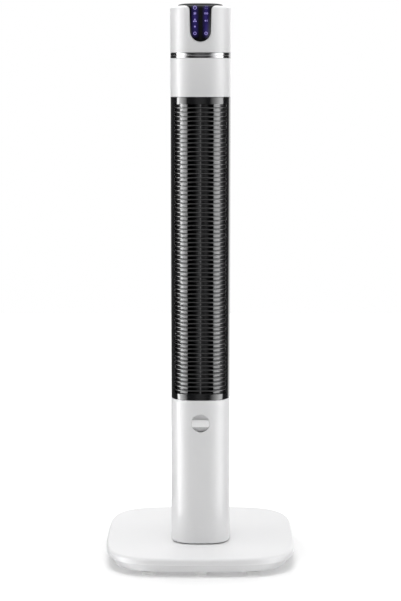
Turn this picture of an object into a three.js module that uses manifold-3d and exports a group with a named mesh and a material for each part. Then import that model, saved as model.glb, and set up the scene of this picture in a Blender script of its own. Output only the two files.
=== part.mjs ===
// Tower fan on a square base: a slim column that swings from side to side, with a tall
// cross-flow wheel behind a slatted front grille and a touch panel on its head.
// Millimetres, +Z up, the front faces -Y, and the origin is on the floor under the base's middle.

import * as THREE from 'three';
import { mergeVertices } from 'three/addons/utils/BufferGeometryUtils.js';
import Module from 'manifold-3d';

const wasm = await Module();
wasm.setup();

// ---------- driving dimensions ----------

// fits
const SEAT_GAP = 0.3; // between pieces that rest on or in each other
const RUNNING_GAP = 0.5; // round a turning shaft or hub
const WALL_FIT = 0.5; // between nested column shells and what stands inside them
const OVERRUN = 1; // how far a cutting body runs past what it cuts

// base
const BASE_HALF = 172;
const BASE_EXPONENT = 4.2; // squareness of the base's rounded-square outline
const BASE_TOP = 33;
const RIM_HEIGHT = 12;
const RIM_WALL = 3.5;
const RIM_ROUND = 5;
const RIM_CHAMFER = 1.1; // on the rim's lower edge
const COVER_ROOF = 3;
const FOOT_HEIGHT = 5;
const SKIRT_RECESS = 7.5; // the skirt's top edge behind the rim's face
const SKIRT_DRAFT = 4.5; // the skirt leans in by this towards the floor
const PAN_WALL = 2.5;
const BALLAST_HALF = 105;
const BALLAST_THICK = 6;
const BALLAST_HOLE_FIT = 2; // round the post's flange
const FOOT_LENGTH = 21;
const FOOT_WIDTH = 12;
const FOOT_SPREAD = 92; // side feet of a row from its middle foot
const FOOT_EDGE = 9; // foot centre inside the pan's lower edge
const FOOT_EDGE_TAPER = 0.8;
const GLAND_RADIUS = 6;
const GLAND_BORE = 3.2;
const GLAND_FLANGE = 1.6; // the flange beyond the gland's barrel
const GLAND_FLANGE_THICK = 2.6;
const GLAND_TAIL = 2; // the barrel behind the skirt's wall
const GLAND_HEIGHT = 13;
const BOSS_RADIUS = 5;
const BOSS_CORNER = 20; // a boss's centre inside the pan's corner, along x and y
const BOSS_TIP = 7; // a closing screw's tip below the cover's roof
const SWIVEL_HOLE_FIT = 2; // round the post, in the cover

// swivel
const COLUMN_FORWARD = 32; // the column's axis in front of the base's middle
const SWIVEL_GAP = 2; // the column stands this far above the base
const FOOT_PLATE_THICK = 4;
const POST_RADIUS = 13;
const POST_BORE = 8.5;
const POST_FLANGE_RADIUS = 42;
const POST_FLANGE_THICK = 4;
const POST_FILLET = 4; // where the post rises from its flange
const POST_NECK_RADIUS = 10.5; // the seat of the gear
const POST_END = 6; // the neck above the nut
const CABLE_WINDOW = 8; // width of the window for the cable
const HUB_WALL = 4;
const HUB_HEIGHT = 8;
const CLIP_THICK = 1.6;
const CLIP_DEPTH = 1.5; // depth of the clip's groove in the post
const CLIP_LIP = 3; // the clip beyond the post's face
const CLIP_MOUTH = 6;
const SLIDE_RING_INNER = 22;
const SLIDE_RING_OUTER = 40;
const PINION_RISE = 3.2; // the gears' lower faces above the swing motor
const GEAR_THICK = 7;
const GEAR_TEETH = 36;
const PINION_TEETH = 12;
const GEAR_MODULE = 4 / 3;
const GEAR_BACKLASH = 0.4;
const PINION_HUB_RADIUS = 5;
const KEY_WIDTH = 3;
const KEY_DEPTH = 1.2;
const NUT_RADIUS = 15;
const NUT_THICK = 4;
const SWING_MOTOR_RADIUS = 14;
const SWING_MOTOR_HEIGHT = 18.5;
const SWING_SHAFT_RADIUS = 2.5;
const SWING_SHAFT_DEPTH = 7.5; // inside the motor
const MOTOR_EAR = 18.5; // screw centres beside the swing motor's axis
const EAR_RADIUS = 3.6;
const EAR_THICK = 1.4;
const EAR_SCREW_LENGTH = 10;
const POST_SCREW_CIRCLE = 33;

// column, from its lower end up
const COLUMN_HALF = 53.5;
const COLUMN_EXPONENT = 3; // squareness of the column's section
const COLUMN_WALL = 2.4;
const SEAM = 8; // the front covers end this far behind the column's axis
const LOWER_COVER_HEIGHT = 264;
const GRILLE_HEIGHT = 538;
const GRILLE_WALL = 4;
const UPPER_COVER_HEIGHT = 67;
const RING_HEIGHT = 9.4;
const RING_WALL = 2.2;

// rear screws
const REAR_SCREW_SPREAD = 28;
const LOWER_SCREW_RISE = 22; // above the column's lower end
const UPPER_SCREW_DROP = 12; // below the column's upper end
const REAR_SCREW_LENGTH = 9;
const REAR_SCREW_PROUD = 0.5;
const SCREW_BLOCK_HALF = 4;
const SCREW_BLOCK_DEPTH = 9;
const SCREW_BLOCK_MARGIN = 6; // a block's end beyond its screw

// grille slots
const SLOT_LEAD = 10.5; // plain band below the slots
const SLOT_TAIL = 8.5; // plain band above the slots
const SLOT_PITCH = 7.61;
const SLAT_HEIGHT = 2.4;
const SLOT_REACH = 46; // the slots run this far to each side

// vane frame behind the slats
const FRAME_WALL = 1.6;
const WINDOW_EDGE = 23.1;
const VANE_WIDTH = 2.4;
const VANE_DEPTH = 8;

// rear intake
const INTAKE_COLUMNS = 11;
const INTAKE_ROWS = 4;
const INTAKE_PITCH = 6.8;
const INTAKE_RIB = 3; // between slots side by side
const INTAKE_BRIDGE = 9; // between slots one above the other

// cross-flow wheel and its duct
const WHEEL_RADIUS = 30;
const WHEEL_BACK = 4; // the wheel's axis behind the column's axis
const WHEEL_FLOOR_GAP = 6; // under the wheel
const WHEEL_ROOF_GAP = 8; // over the wheel
const WHEEL_RING_WIDTH = 9;
const WHEEL_RING_THICK = 2;
const WHEEL_SPANS = 3;
const BLADE_COUNT = 18;
const BLADE_THICK = 1.1;
const BLADE_BULGE = 1.9;
const BLADE_SINK = 0.8; // a blade's edges inside the rings' edges
const WHEEL_HUB_RADIUS = 9;
const WHEEL_HUB_HEIGHT = 9;
const HUB_END_WALL = 1; // at the blind end of a hub's bore
const SHAFT_RADIUS = 4;
const SHAFT_DEPTH = 15.5; // inside the fan motor
const PIN_RADIUS = 3;
const PIN_END = 3; // the pin above the bearing plate
const BUSH_WALL = 3;
const BUSH_FLANGE = 3;
const BUSH_FLANGE_THICK = 2;
const DUCT_WALL = 1.6;
const SCROLL_GAP = 2.5; // the scroll's nearest point to the wheel
const SCROLL_GROWTH = 6;
const SCROLL_START = -35; // degrees, at the outlet
const SCROLL_END = 70;
const CUTOFF_ANGLE = 198; // degrees, where the cut-off comes nearest to the wheel
const CUTOFF_ROOT = 6; // the cut-off's rear end inside the shell
const CUTOFF_LEG = 12; // the nose's straight front face
const DUCT_HALF = 27; // the duct's mouth beside its middle
const PLATE_THICK = 3;
const FAN_MOTOR_RADIUS = 28;
const FAN_MOTOR_HEIGHT = 32;
const FAN_MOTOR_ROUND = 6;
const MOTOR_BOSS_RADIUS = 10;
const FAN_MOTOR_SCREW = 21; // the fan motor's screws beside its axis
const FAN_SCREW_LENGTH = 9;

// scent box on the front
const CAP_DROP = 42; // the round cap's centre below the grille
const CAP_RADIUS = 16;
const CAP_RECESS = 7;
const CAP_WALL = 2;
const CAP_SKIRT_DEPTH = 9;
const BAR_HEIGHT = 13;
const BAR_PROUD = 1.6;
const LUG_REACH = 1.1; // the bayonet lugs beyond the skirt
const LUG_WIDTH = 7;
const LUG_THICK = 2;
const POCKET_WALL = 3;
const POCKET_FLOOR = 2;
const POCKET_DEPTH = 27;
const TRAY_FIT = 0.6;
const TRAY_WALL = 1.4;

// head
const HEAD_HEIGHT = 80;
const HEAD_ROUND = 5;
const LENS_PROUD = 0.4;
const LENS_THICK = 2.2;
const DISC_HALF = 40; // the black top disc
const DISC_SINK = 3; // the disc below the head's shoulder
const DOME_RISE = 6; // the dome above the head's shoulder
const DOME_LIP = 0.6; // upright edge of the dome
const DOME_ROUNDNESS = 3; // exponent of the dome's profile
const TONGUE_HALF_TOP = 18.9;
const TONGUE_HALF_BOTTOM = 18;
const TONGUE_LENGTH = 61.8;
const TONGUE_FILLET = 7.5;
const CARRIER_DEPTH = 34; // the sleeve's length inside the column
const CARRIER_REACH = 12; // the sleeve's length inside the head
const CARRIER_WALL = 2;
const CABLE_HOLE = 8;
const BOARD_THICK = 1.6;
const BOARD_STAND = 4; // the control board above its deck
const BOARD_HALF_WIDTH = 30;
const BOARD_HALF_DEPTH = 24;
const BOARD_LEG = 3; // side of a leg and its place inside the board's edge
const DISPLAY_HALF = 15;
const DISPLAY_MARGIN = 6; // the display board's end inside the tongue's end
const DISPLAY_LENGTH = 44;
const CHIP_HALF = 7;
const CHIP_THICK = 2;

// fasteners
const SCREW_RADIUS = 1.6;
const SCREW_HEAD_RADIUS = 3.2;
const SCREW_HEAD_TOP = 2.4; // radius of a head's flat top
const SCREW_HEAD_HEIGHT = 2;

// facets round a full turn
const SMOOTH_STEPS = 32;
const GRILLE_STEPS = 16;
const GRILLE_INNER_STEPS = 8;
const ROUND_STEPS = 16;
const CAP_STEPS = 24;
const SMALL_STEPS = 8;
const EDGE_STEPS = 3; // along a rounded edge
const DOME_STEPS = 5;
const SCROLL_STEPS = 7;
const CORNER_CROWDING = 0.12; // radians that facets shift towards a rounded square's corners

// ---------- what follows from them ----------

const RIM_BOTTOM = BASE_TOP - RIM_HEIGHT;
const PAN_TOP_HALF = BASE_HALF - SKIRT_RECESS;
const PAN_FLOOR_HALF = PAN_TOP_HALF - SKIRT_DRAFT;
const PAN_FLOOR = FOOT_HEIGHT + PAN_WALL;
const COVER_UNDER = BASE_TOP - COVER_ROOF;
const CORNER_SCREW = PAN_FLOOR_HALF * 2 ** (-1 / BASE_EXPONENT) - BOSS_CORNER;
const POST_FLANGE_BOTTOM = PAN_FLOOR + SEAT_GAP;
const POST_FLANGE_TOP = POST_FLANGE_BOTTOM + POST_FLANGE_THICK;
const COLUMN_BOTTOM = BASE_TOP + SWIVEL_GAP;
const FOOT_PLATE_TOP = COLUMN_BOTTOM + FOOT_PLATE_THICK;
const HUB_TOP = FOOT_PLATE_TOP + HUB_HEIGHT;
const SWING_MOTOR_BOTTOM = FOOT_PLATE_TOP + SEAT_GAP;
const SWING_MOTOR_TOP = SWING_MOTOR_BOTTOM + SWING_MOTOR_HEIGHT;
const EAR_BOTTOM = SWING_MOTOR_TOP - EAR_THICK;
const GEAR_SEAT = SWING_MOTOR_TOP + PINION_RISE;
const GEAR_TOP = GEAR_SEAT + GEAR_THICK;
const NUT_TOP = GEAR_TOP + SEAT_GAP + NUT_THICK;
const POST_TOP = NUT_TOP + POST_END;
const GEAR_PITCH_RADIUS = (GEAR_TEETH * GEAR_MODULE) / 2;
const PINION_PITCH_RADIUS = (PINION_TEETH * GEAR_MODULE) / 2;
const GEAR_CENTRES = GEAR_PITCH_RADIUS + PINION_PITCH_RADIUS;
const GRILLE_BOTTOM = COLUMN_BOTTOM + LOWER_COVER_HEIGHT;
const GRILLE_TOP = GRILLE_BOTTOM + GRILLE_HEIGHT;
const SLOT_BOTTOM = GRILLE_BOTTOM + SLOT_LEAD;
const SLOT_TOP = GRILLE_TOP - SLOT_TAIL;
const COLUMN_TOP = GRILLE_TOP + UPPER_COVER_HEIGHT;
const RING_BOTTOM = COLUMN_TOP + SEAT_GAP;
const RING_TOP = RING_BOTTOM + RING_HEIGHT;
const HEAD_BOTTOM = RING_TOP + SEAT_GAP;
const HEAD_TOP = HEAD_BOTTOM + HEAD_HEIGHT;
const DOME_TOP = HEAD_TOP + DOME_RISE;
const TONGUE_BOTTOM = HEAD_TOP - TONGUE_LENGTH;
const CARRIER_BOTTOM = COLUMN_TOP - CARRIER_DEPTH;
const CARRIER_DECK = CARRIER_BOTTOM + CARRIER_WALL;
const SHELL_INNER = COLUMN_HALF - COLUMN_WALL;
const INSERT_HALF = SHELL_INNER - WALL_FIT;
const GRILLE_INNER = COLUMN_HALF - GRILLE_WALL;
const FRAME_HALF = GRILLE_INNER - WALL_FIT;
const MOTOR_PLATE_TOP = GRILLE_BOTTOM - PLATE_THICK;
const BEARING_PLATE_BOTTOM = GRILLE_TOP + PLATE_THICK;
const WHEEL_BOTTOM = MOTOR_PLATE_TOP + WHEEL_FLOOR_GAP;
const WHEEL_TOP = BEARING_PLATE_BOTTOM - WHEEL_ROOF_GAP;
const FAN_MOTOR_TOP = MOTOR_PLATE_TOP - PLATE_THICK - SEAT_GAP;
const LOWER_SCREW_HEIGHT = COLUMN_BOTTOM + LOWER_SCREW_RISE;
const UPPER_SCREW_HEIGHT = COLUMN_TOP - UPPER_SCREW_DROP;
const CAP_HEIGHT = GRILLE_BOTTOM - CAP_DROP;
const CAP_FACE = COLUMN_HALF - CAP_RECESS;
const CAP_SKIRT = CAP_FACE - CAP_SKIRT_DEPTH;

// ---------- finishes ----------

const finish = (color, roughness, metalness = 0) => ({ color, roughness, metalness });
const WHITE_GLOSS = finish(0xf1f1f2, 0.22);
const WHITE_SATIN = finish(0xe6e6e7, 0.4);
const BLACK_GLOSS = finish(0x0b0b0d, 0.12);
const BLACK_SATIN = finish(0x18181a, 0.45);
const CHROME = finish(0xd9dadc, 0.08, 1);
const STEEL = finish(0x9a9da1, 0.35, 1);
const ZINC = finish(0x8d9093, 0.45, 1);
const RUBBER = finish(0xd8d8d6, 0.8);
const NYLON = finish(0xe9e4d4, 0.5);
const BOARD_GREEN = finish(0x1d5a38, 0.5);
const BRONZE = finish(0xa87b3c, 0.4, 1);

// ---------- solids ----------

/** Turns a closed geometry into a solid that can be joined and cut. */
function solid(geometry) {
  const bare = geometry.clone();
  bare.deleteAttribute('normal');
  bare.deleteAttribute('uv');
  const merged = mergeVertices(bare, 1e-4);
  return new wasm.Manifold(
    new wasm.Mesh({
      numProp: 3,
      vertProperties: new Float32Array(merged.attributes.position.array),
      triVerts: new Uint32Array(merged.index.array),
    }),
  );
}

const join = (first, ...others) => others.reduce((sum, next) => sum.add(next), first);
const cut = (body, ...tools) => tools.reduce((rest, tool) => rest.subtract(tool), body);

/** A prism with a plan outline, standing from one height to another. */
function prism(points, bottom, top, holes = []) {
  const shape = new THREE.Shape(points);
  for (const hole of holes) shape.holes.push(new THREE.Path(hole));
  const geometry = new THREE.ExtrudeGeometry(shape, { depth: top - bottom, bevelEnabled: false });
  return solid(geometry.translate(0, 0, bottom));
}

/** A block given by its lowest corner and its highest corner. */
function block([x0, y0, z0], [x1, y1, z1]) {
  const geometry = new THREE.BoxGeometry(x1 - x0, y1 - y0, z1 - z0);
  return solid(geometry.translate((x0 + x1) / 2, (y0 + y1) / 2, (z0 + z1) / 2));
}

/** A body turned round +Z, with its profile as [radius, height] pairs that end on the axis. */
function turned(profile, steps = ROUND_STEPS) {
  const points = profile.map(([radius, height]) => new THREE.Vector2(radius, height));
  return solid(new THREE.LatheGeometry(points, steps).rotateX(Math.PI / 2));
}

/** A round bar along +Z. */
function bar(radius, bottom, top, steps = ROUND_STEPS) {
  return turned([[0, bottom], [radius, bottom], [radius, top], [0, top]], steps);
}

const tubeOf = (outer, inner, bottom, top, steps = ROUND_STEPS) =>
  cut(bar(outer, bottom, top, steps), bar(inner, bottom - OVERRUN, top + OVERRUN, steps));

/** Stacks closed rings of equal point count into one closed body. */
function loft(rings) {
  const count = rings[0].length;
  const positions = rings.flat().flatMap((point) => point.toArray());
  const lowest = positions.length / 3;
  const middle = (ring) => ring.reduce((sum, p) => sum.add(p), new THREE.Vector3()).divideScalar(count);
  positions.push(...middle(rings[0]).toArray(), ...middle(rings.at(-1)).toArray());
  const index = [];
  for (let i = 0; i < count; i += 1) {
    const next = (i + 1) % count;
    for (let level = 0; level < rings.length - 1; level += 1) {
      const below = level * count;
      const above = below + count;
      index.push(below + i, below + next, above + next, below + i, above + next, above + i);
    }
    const last = (rings.length - 1) * count;
    index.push(lowest, next, i, lowest + 1, last + i, last + next);
  }
  const geometry = new THREE.BufferGeometry();
  geometry.setAttribute('position', new THREE.Float32BufferAttribute(positions, 3));
  geometry.setIndex(index);
  return solid(geometry);
}

// ---------- outlines ----------

const polar = (radius, angle) => new THREE.Vector2(radius * Math.cos(angle), radius * Math.sin(angle));
const degrees = THREE.MathUtils.degToRad;

/** Point of a rounded square, |x|^n + |y|^n = half^n, in the direction of an angle. */
function roundedSquarePoint(half, exponent, angle) {
  const c = Math.cos(angle);
  const s = Math.sin(angle);
  const radius = half / (Math.abs(c) ** exponent + Math.abs(s) ** exponent) ** (1 / exponent);
  return new THREE.Vector2(radius * c, radius * s);
}

/** A whole rounded square, counter-clockwise, with corners or flats on its middle lines. */
function roundedSquare(half, exponent, steps = SMOOTH_STEPS, flatMiddles = false) {
  const points = [];
  const lead = flatMiddles ? 0.5 : 0;
  for (let i = 0; i < steps; i += 1) {
    const even = ((i + lead) / steps) * 2 * Math.PI;
    points.push(roundedSquarePoint(half, exponent, even + CORNER_CROWDING * Math.sin(4 * even)));
  }
  return points;
}

const columnOutline = (half, steps, flatMiddles) => roundedSquare(half, COLUMN_EXPONENT, steps, flatMiddles);
const grilleInnerOutline = (half) => columnOutline(half, GRILLE_INNER_STEPS, true);
const baseOutline = (half) => roundedSquare(half, BASE_EXPONENT);
const atHeight = (points, height) => points.map((p) => new THREE.Vector3(p.x, p.y, height));

/** Depth of the column's section at one side position: the y of its front face. */
function frontFace(half, x) {
  return -((half ** COLUMN_EXPONENT - Math.abs(x) ** COLUMN_EXPONENT) ** (1 / COLUMN_EXPONENT));
}

/** A strip of constant thickness to the left of a path in plan. */
function strip(path, thickness) {
  const left = path.map((point, i) => {
    const before = path[Math.max(i - 1, 0)];
    const after = path[Math.min(i + 1, path.length - 1)];
    const along = new THREE.Vector2().subVectors(after, before).normalize();
    return new THREE.Vector2(point.x - along.y * thickness, point.y + along.x * thickness);
  });
  return [...path, ...left.reverse()];
}

/** Outline of a spur gear with involute flanks, its first tooth centred on an angle. */
function gearOutline(teeth, firstTooth) {
  const pressure = degrees(25);
  const pitch = (teeth * GEAR_MODULE) / 2;
  const base = pitch * Math.cos(pressure);
  const root = pitch - 1.1 * GEAR_MODULE;
  const tip = pitch + 0.8 * GEAR_MODULE;
  const roll = (radius) => {
    const angle = Math.acos(Math.min(1, base / radius));
    return Math.tan(angle) - angle;
  };
  const halfAtPitch = Math.PI / (2 * teeth) - GEAR_BACKLASH / (4 * pitch);
  const flank = [root, tip].map((radius) => [radius, halfAtPitch + roll(pitch) - roll(radius)]);
  const points = [];
  for (let tooth = 0; tooth < teeth; tooth += 1) {
    const centre = firstTooth + (tooth / teeth) * 2 * Math.PI;
    for (const [radius, half] of flank) {
      points.push(polar(radius, centre - half));
    }
    for (const [radius, half] of flank.toReversed()) {
      points.push(polar(radius, centre + half));
    }
  }
  return points;
}

// ---------- the assembly ----------

const fan = new THREE.Group();
const column = new THREE.Group();
column.position.y = -COLUMN_FORWARD;
fan.add(column);

/** Adds a named piece with its finish to a group. */
function addPiece(group, name, body, look) {
  const { vertProperties, triVerts } = body.getMesh();
  const geometry = new THREE.BufferGeometry();
  geometry.setAttribute('position', new THREE.BufferAttribute(vertProperties, 3));
  geometry.setIndex(new THREE.BufferAttribute(triVerts, 1));
  geometry.computeVertexNormals();
  const mesh = new THREE.Mesh(geometry, new THREE.MeshStandardMaterial(look));
  mesh.name = name;
  group.add(mesh);
  return mesh;
}

/** A pan-head screw along +Z: its head hangs below z = 0 and its shank rises above it. */
function screw(length) {
  return turned([
    [0, -SCREW_HEAD_HEIGHT],
    [SCREW_HEAD_TOP, -SCREW_HEAD_HEIGHT],
    [SCREW_HEAD_RADIUS, 0],
    [SCREW_RADIUS, 0],
    [SCREW_RADIUS, length],
    [0, length],
  ], SMALL_STEPS);
}

/** The hole that a screw's shank goes through, with clearance. */
const shankHole = (x, y, bottom, top) =>
  bar(SCREW_RADIUS + SEAT_GAP, bottom, top, SMALL_STEPS).translate([x, y, 0]);

// ---------- base ----------

const corners = [[1, 1], [-1, 1], [-1, -1], [1, -1]];
const cornerScrews = corners.map(([x, y]) => [x * CORNER_SCREW, y * CORNER_SCREW]);
const postScrews = [90, 210, 330].map((angle) => {
  const spot = polar(POST_SCREW_CIRCLE, degrees(angle));
  return [spot.x, spot.y - COLUMN_FORWARD];
});
const CORNER_SCREW_TOP = COVER_UNDER - BOSS_TIP;
const SCREW_SEAT = FOOT_HEIGHT - SEAT_GAP;

/** Top cover: a rounded-square tray, upside down, with four bosses and the swivel's hole. */
function baseCover() {
  const rim = [[BASE_HALF - RIM_CHAMFER, RIM_BOTTOM], [BASE_HALF, RIM_BOTTOM + RIM_CHAMFER]];
  for (let i = 0; i <= EDGE_STEPS; i += 1) {
    const turn = (i / EDGE_STEPS) * (Math.PI / 2);
    rim.push([
      BASE_HALF - RIM_ROUND * (1 - Math.cos(turn)),
      BASE_TOP - RIM_ROUND * (1 - Math.sin(turn)),
    ]);
  }
  const outside = loft(rim.map(([half, height]) => atHeight(baseOutline(half), height)));
  const inside = prism(baseOutline(BASE_HALF - RIM_WALL), RIM_BOTTOM - OVERRUN, COVER_UNDER);
  const swivelHole = bar(POST_RADIUS + SWIVEL_HOLE_FIT, RIM_BOTTOM, BASE_TOP + OVERRUN)
    .translate([0, -COLUMN_FORWARD, 0]);
  const shell = cut(outside, inside, swivelHole);
  return cornerScrews.reduce((cover, [x, y]) => {
    const post = bar(BOSS_RADIUS, PAN_FLOOR + SEAT_GAP, COVER_UNDER + OVERRUN, SMALL_STEPS);
    const boss = post.translate([x, y, 0]);
    return cut(join(cover, boss), shankHole(x, y, FOOT_HEIGHT, CORNER_SCREW_TOP + SEAT_GAP));
  }, shell);
}

const footSpots = [
  ['front_left', -FOOT_SPREAD, -1], ['front_centre', 0, -1], ['front_right', FOOT_SPREAD, -1],
  ['rear_left', -FOOT_SPREAD, 1], ['rear_centre', 0, 1], ['rear_right', FOOT_SPREAD, 1],
].map(([place, x, side]) => ({ place, x, y: side * (PAN_FLOOR_HALF - FOOT_EDGE), across: true }));
footSpots.push({ place: 'side_left', x: -(PAN_FLOOR_HALF - FOOT_EDGE), y: 0, across: false });
footSpots.push({ place: 'side_right', x: PAN_FLOOR_HALF - FOOT_EDGE, y: 0, across: false });

const GLAND_INSIDE = Math.min(PAN_FLOOR_HALF, PAN_TOP_HALF) - PAN_WALL - GLAND_TAIL;

/** Bottom pan: floor and tapered skirt, holed for the screws and the cable gland. */
function basePan() {
  const outside = loft([
    [PAN_FLOOR_HALF, FOOT_HEIGHT],
    [PAN_TOP_HALF, RIM_BOTTOM],
    [PAN_TOP_HALF, COVER_UNDER - SEAT_GAP],
  ].map(([half, height]) => atHeight(baseOutline(half), height)));
  const inside = loft([
    [PAN_FLOOR_HALF - PAN_WALL, PAN_FLOOR],
    [PAN_TOP_HALF - PAN_WALL, RIM_BOTTOM],
    [PAN_TOP_HALF - PAN_WALL, COVER_UNDER + OVERRUN],
  ].map(([half, height]) => atHeight(baseOutline(half), height)));
  const screwHoles = [...cornerScrews, ...postScrews].map(([x, y]) =>
    shankHole(x, y, FOOT_HEIGHT - OVERRUN, PAN_FLOOR + OVERRUN));
  const glandHole = bar(GLAND_RADIUS + SEAT_GAP, GLAND_INSIDE, PAN_TOP_HALF + OVERRUN, 2 * SMALL_STEPS)
    .rotate([-90, 0, 0])
    .translate([0, 0, GLAND_HEIGHT]);
  return cut(outside, inside, ...screwHoles, glandHole);
}

/** Rubber foot: a pad stuck under the pan, narrower where it meets the floor. */
function rubberFoot({ x, y, across }) {
  const [long, wide] = across ? [FOOT_LENGTH, FOOT_WIDTH] : [FOOT_WIDTH, FOOT_LENGTH];
  const outline = (inset, height) => [[-1, -1], [1, -1], [1, 1], [-1, 1]].map(([sideX, sideY]) =>
    new THREE.Vector3(sideX * (long / 2 - inset), sideY * (wide / 2 - inset), height));
  const pad = loft([outline(FOOT_EDGE_TAPER, 0), outline(0, 1), outline(0, FOOT_HEIGHT - SEAT_GAP)]);
  return pad.translate([x, y, 0]);
}

/** Gland for the mains lead, a flanged bush in the rear of the skirt. */
function cableGland() {
  const face = PAN_TOP_HALF + SEAT_GAP;
  const end = face + GLAND_FLANGE_THICK;
  const bush = turned([
    [GLAND_BORE, GLAND_INSIDE],
    [GLAND_RADIUS, GLAND_INSIDE],
    [GLAND_RADIUS, face],
    [GLAND_RADIUS + GLAND_FLANGE, face],
    [GLAND_RADIUS + GLAND_FLANGE / 2, end],
    [GLAND_BORE, end],
    [GLAND_BORE, GLAND_INSIDE],
  ], 2 * SMALL_STEPS);
  return bush.rotate([-90, 0, 0]).translate([0, 0, GLAND_HEIGHT]);
}

/** Steel weight on the pan's floor, round the swivel post's flange. */
function ballastPlate() {
  const bottom = PAN_FLOOR + SEAT_GAP;
  const plate = prism(baseOutline(BALLAST_HALF), bottom, bottom + BALLAST_THICK);
  const hole = bar(POST_FLANGE_RADIUS + BALLAST_HOLE_FIT, 0, BASE_TOP).translate([0, -COLUMN_FORWARD, 0]);
  return cut(plate, hole);
}

/** Hollow post that the column turns on, with the clip's groove, the gear's neck and a cable window. */
function swivelPost() {
  const grooveBottom = HUB_TOP + SEAT_GAP;
  const grooveTop = grooveBottom + CLIP_THICK + SEAT_GAP;
  const outside = turned([
    [0, POST_FLANGE_BOTTOM],
    [POST_FLANGE_RADIUS, POST_FLANGE_BOTTOM],
    [POST_FLANGE_RADIUS, POST_FLANGE_TOP],
    [POST_RADIUS + POST_FILLET, POST_FLANGE_TOP],
    [POST_RADIUS, POST_FLANGE_TOP + POST_FILLET],
    [POST_RADIUS, grooveBottom],
    [POST_RADIUS - CLIP_DEPTH, grooveBottom],
    [POST_RADIUS - CLIP_DEPTH, grooveTop],
    [POST_RADIUS, grooveTop],
    [POST_RADIUS, GEAR_SEAT - SEAT_GAP],
    [POST_NECK_RADIUS, GEAR_SEAT - SEAT_GAP],
    [POST_NECK_RADIUS, POST_TOP],
    [0, POST_TOP],
  ]);
  const bore = bar(POST_BORE, 0, POST_TOP + OVERRUN);
  const keyway = block([-KEY_WIDTH / 2, -POST_RADIUS, GEAR_SEAT - SEAT_GAP],
    [KEY_WIDTH / 2, -POST_NECK_RADIUS + KEY_DEPTH, POST_TOP + OVERRUN]);
  const window = block([-CABLE_WINDOW / 2, 0, POST_FLANGE_TOP + OVERRUN],
    [CABLE_WINDOW / 2, POST_FLANGE_RADIUS, COVER_UNDER - COVER_ROOF]);
  const screws = postScrews.map(([x, y]) =>
    shankHole(x, y + COLUMN_FORWARD, 0, POST_FLANGE_TOP + OVERRUN));
  return cut(outside, bore, keyway, window, ...screws);
}

/** Fixed gear on the post's neck, held from turning by its key. */
function fixedGear() {
  const wheel = prism(gearOutline(GEAR_TEETH, Math.PI / 2), GEAR_SEAT, GEAR_TOP);
  const bore = bar(POST_NECK_RADIUS + SEAT_GAP, 0, POST_TOP);
  const keyHalf = KEY_WIDTH / 2 - SEAT_GAP;
  const key = block([-keyHalf, -POST_RADIUS, GEAR_SEAT],
    [keyHalf, -POST_NECK_RADIUS + KEY_DEPTH - SEAT_GAP, GEAR_TOP]);
  return join(cut(wheel, bore), key);
}

/** Open retaining clip in the post's groove, over the column's hub. */
function retainingClip() {
  const inner = POST_RADIUS - CLIP_DEPTH + SEAT_GAP;
  const outer = POST_RADIUS + CLIP_LIP;
  const mouth = block([-CLIP_MOUTH / 2, 0, 0], [CLIP_MOUTH / 2, outer + OVERRUN, POST_TOP]);
  const low = HUB_TOP + SEAT_GAP * 1.5;
  return cut(tubeOf(outer, inner, low, low + CLIP_THICK), mouth);
}

/** Six-sided nut on top of the gear. */
function gearNut() {
  const hexagon = bar(NUT_RADIUS, GEAR_TOP + SEAT_GAP, NUT_TOP, 6);
  return cut(hexagon, bar(POST_NECK_RADIUS + SEAT_GAP, 0, POST_TOP));
}

function buildBase() {
  addPiece(fan, 'base_cover', baseCover(), WHITE_GLOSS);
  addPiece(fan, 'base_pan', basePan(), WHITE_SATIN);
  for (const spot of footSpots) addPiece(fan, `foot_${spot.place}`, rubberFoot(spot), RUBBER);
  addPiece(fan, 'ballast_plate', ballastPlate(), STEEL);
  addPiece(fan, 'cable_gland', cableGland(), BLACK_SATIN);
  cornerScrews.forEach(([x, y], i) => {
    const length = CORNER_SCREW_TOP - SCREW_SEAT;
    addPiece(fan, `base_screw_${i + 1}`, screw(length).translate([x, y, SCREW_SEAT]), STEEL);
  });
  postScrews.forEach(([x, y], i) => {
    const length = POST_FLANGE_TOP - SCREW_SEAT;
    addPiece(fan, `post_screw_${i + 1}`, screw(length).translate([x, y, SCREW_SEAT]), STEEL);
  });
  const slideBottom = BASE_TOP + SEAT_GAP;
  const slideTop = COLUMN_BOTTOM - SEAT_GAP;
  addPiece(column, 'swivel_post', swivelPost(), ZINC);
  addPiece(column, 'slide_ring', tubeOf(SLIDE_RING_OUTER, SLIDE_RING_INNER, slideBottom, slideTop), NYLON);
  addPiece(column, 'retaining_clip', retainingClip(), STEEL);
  addPiece(column, 'fixed_gear', fixedGear(), NYLON);
  addPiece(column, 'gear_nut', gearNut(), STEEL);
}

// ---------- rear screws and what they go into ----------

const rearScrewHoles = (height) =>
  [-1, 1].map((side) =>
    bar(SCREW_RADIUS + SEAT_GAP, COLUMN_HALF / 2, COLUMN_HALF + OVERRUN, SMALL_STEPS)
      .rotate([-90, 0, 0])
      .translate([side * REAR_SCREW_SPREAD, 0, height]));

/** Two blocks that stand just inside the rear housing and take its screws. */
function rearScrewBlocks(bottom, top) {
  const back = -frontFace(INSERT_HALF, REAR_SCREW_SPREAD + SCREW_BLOCK_HALF) - SEAT_GAP;
  return [-1, 1].map((side) =>
    block([side * REAR_SCREW_SPREAD - SCREW_BLOCK_HALF, back - SCREW_BLOCK_DEPTH, bottom],
      [side * REAR_SCREW_SPREAD + SCREW_BLOCK_HALF, back, top]));
}

// ---------- swing drive ----------

const earScrews = [[-MOTOR_EAR, GEAR_CENTRES], [MOTOR_EAR, GEAR_CENTRES]];

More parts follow.
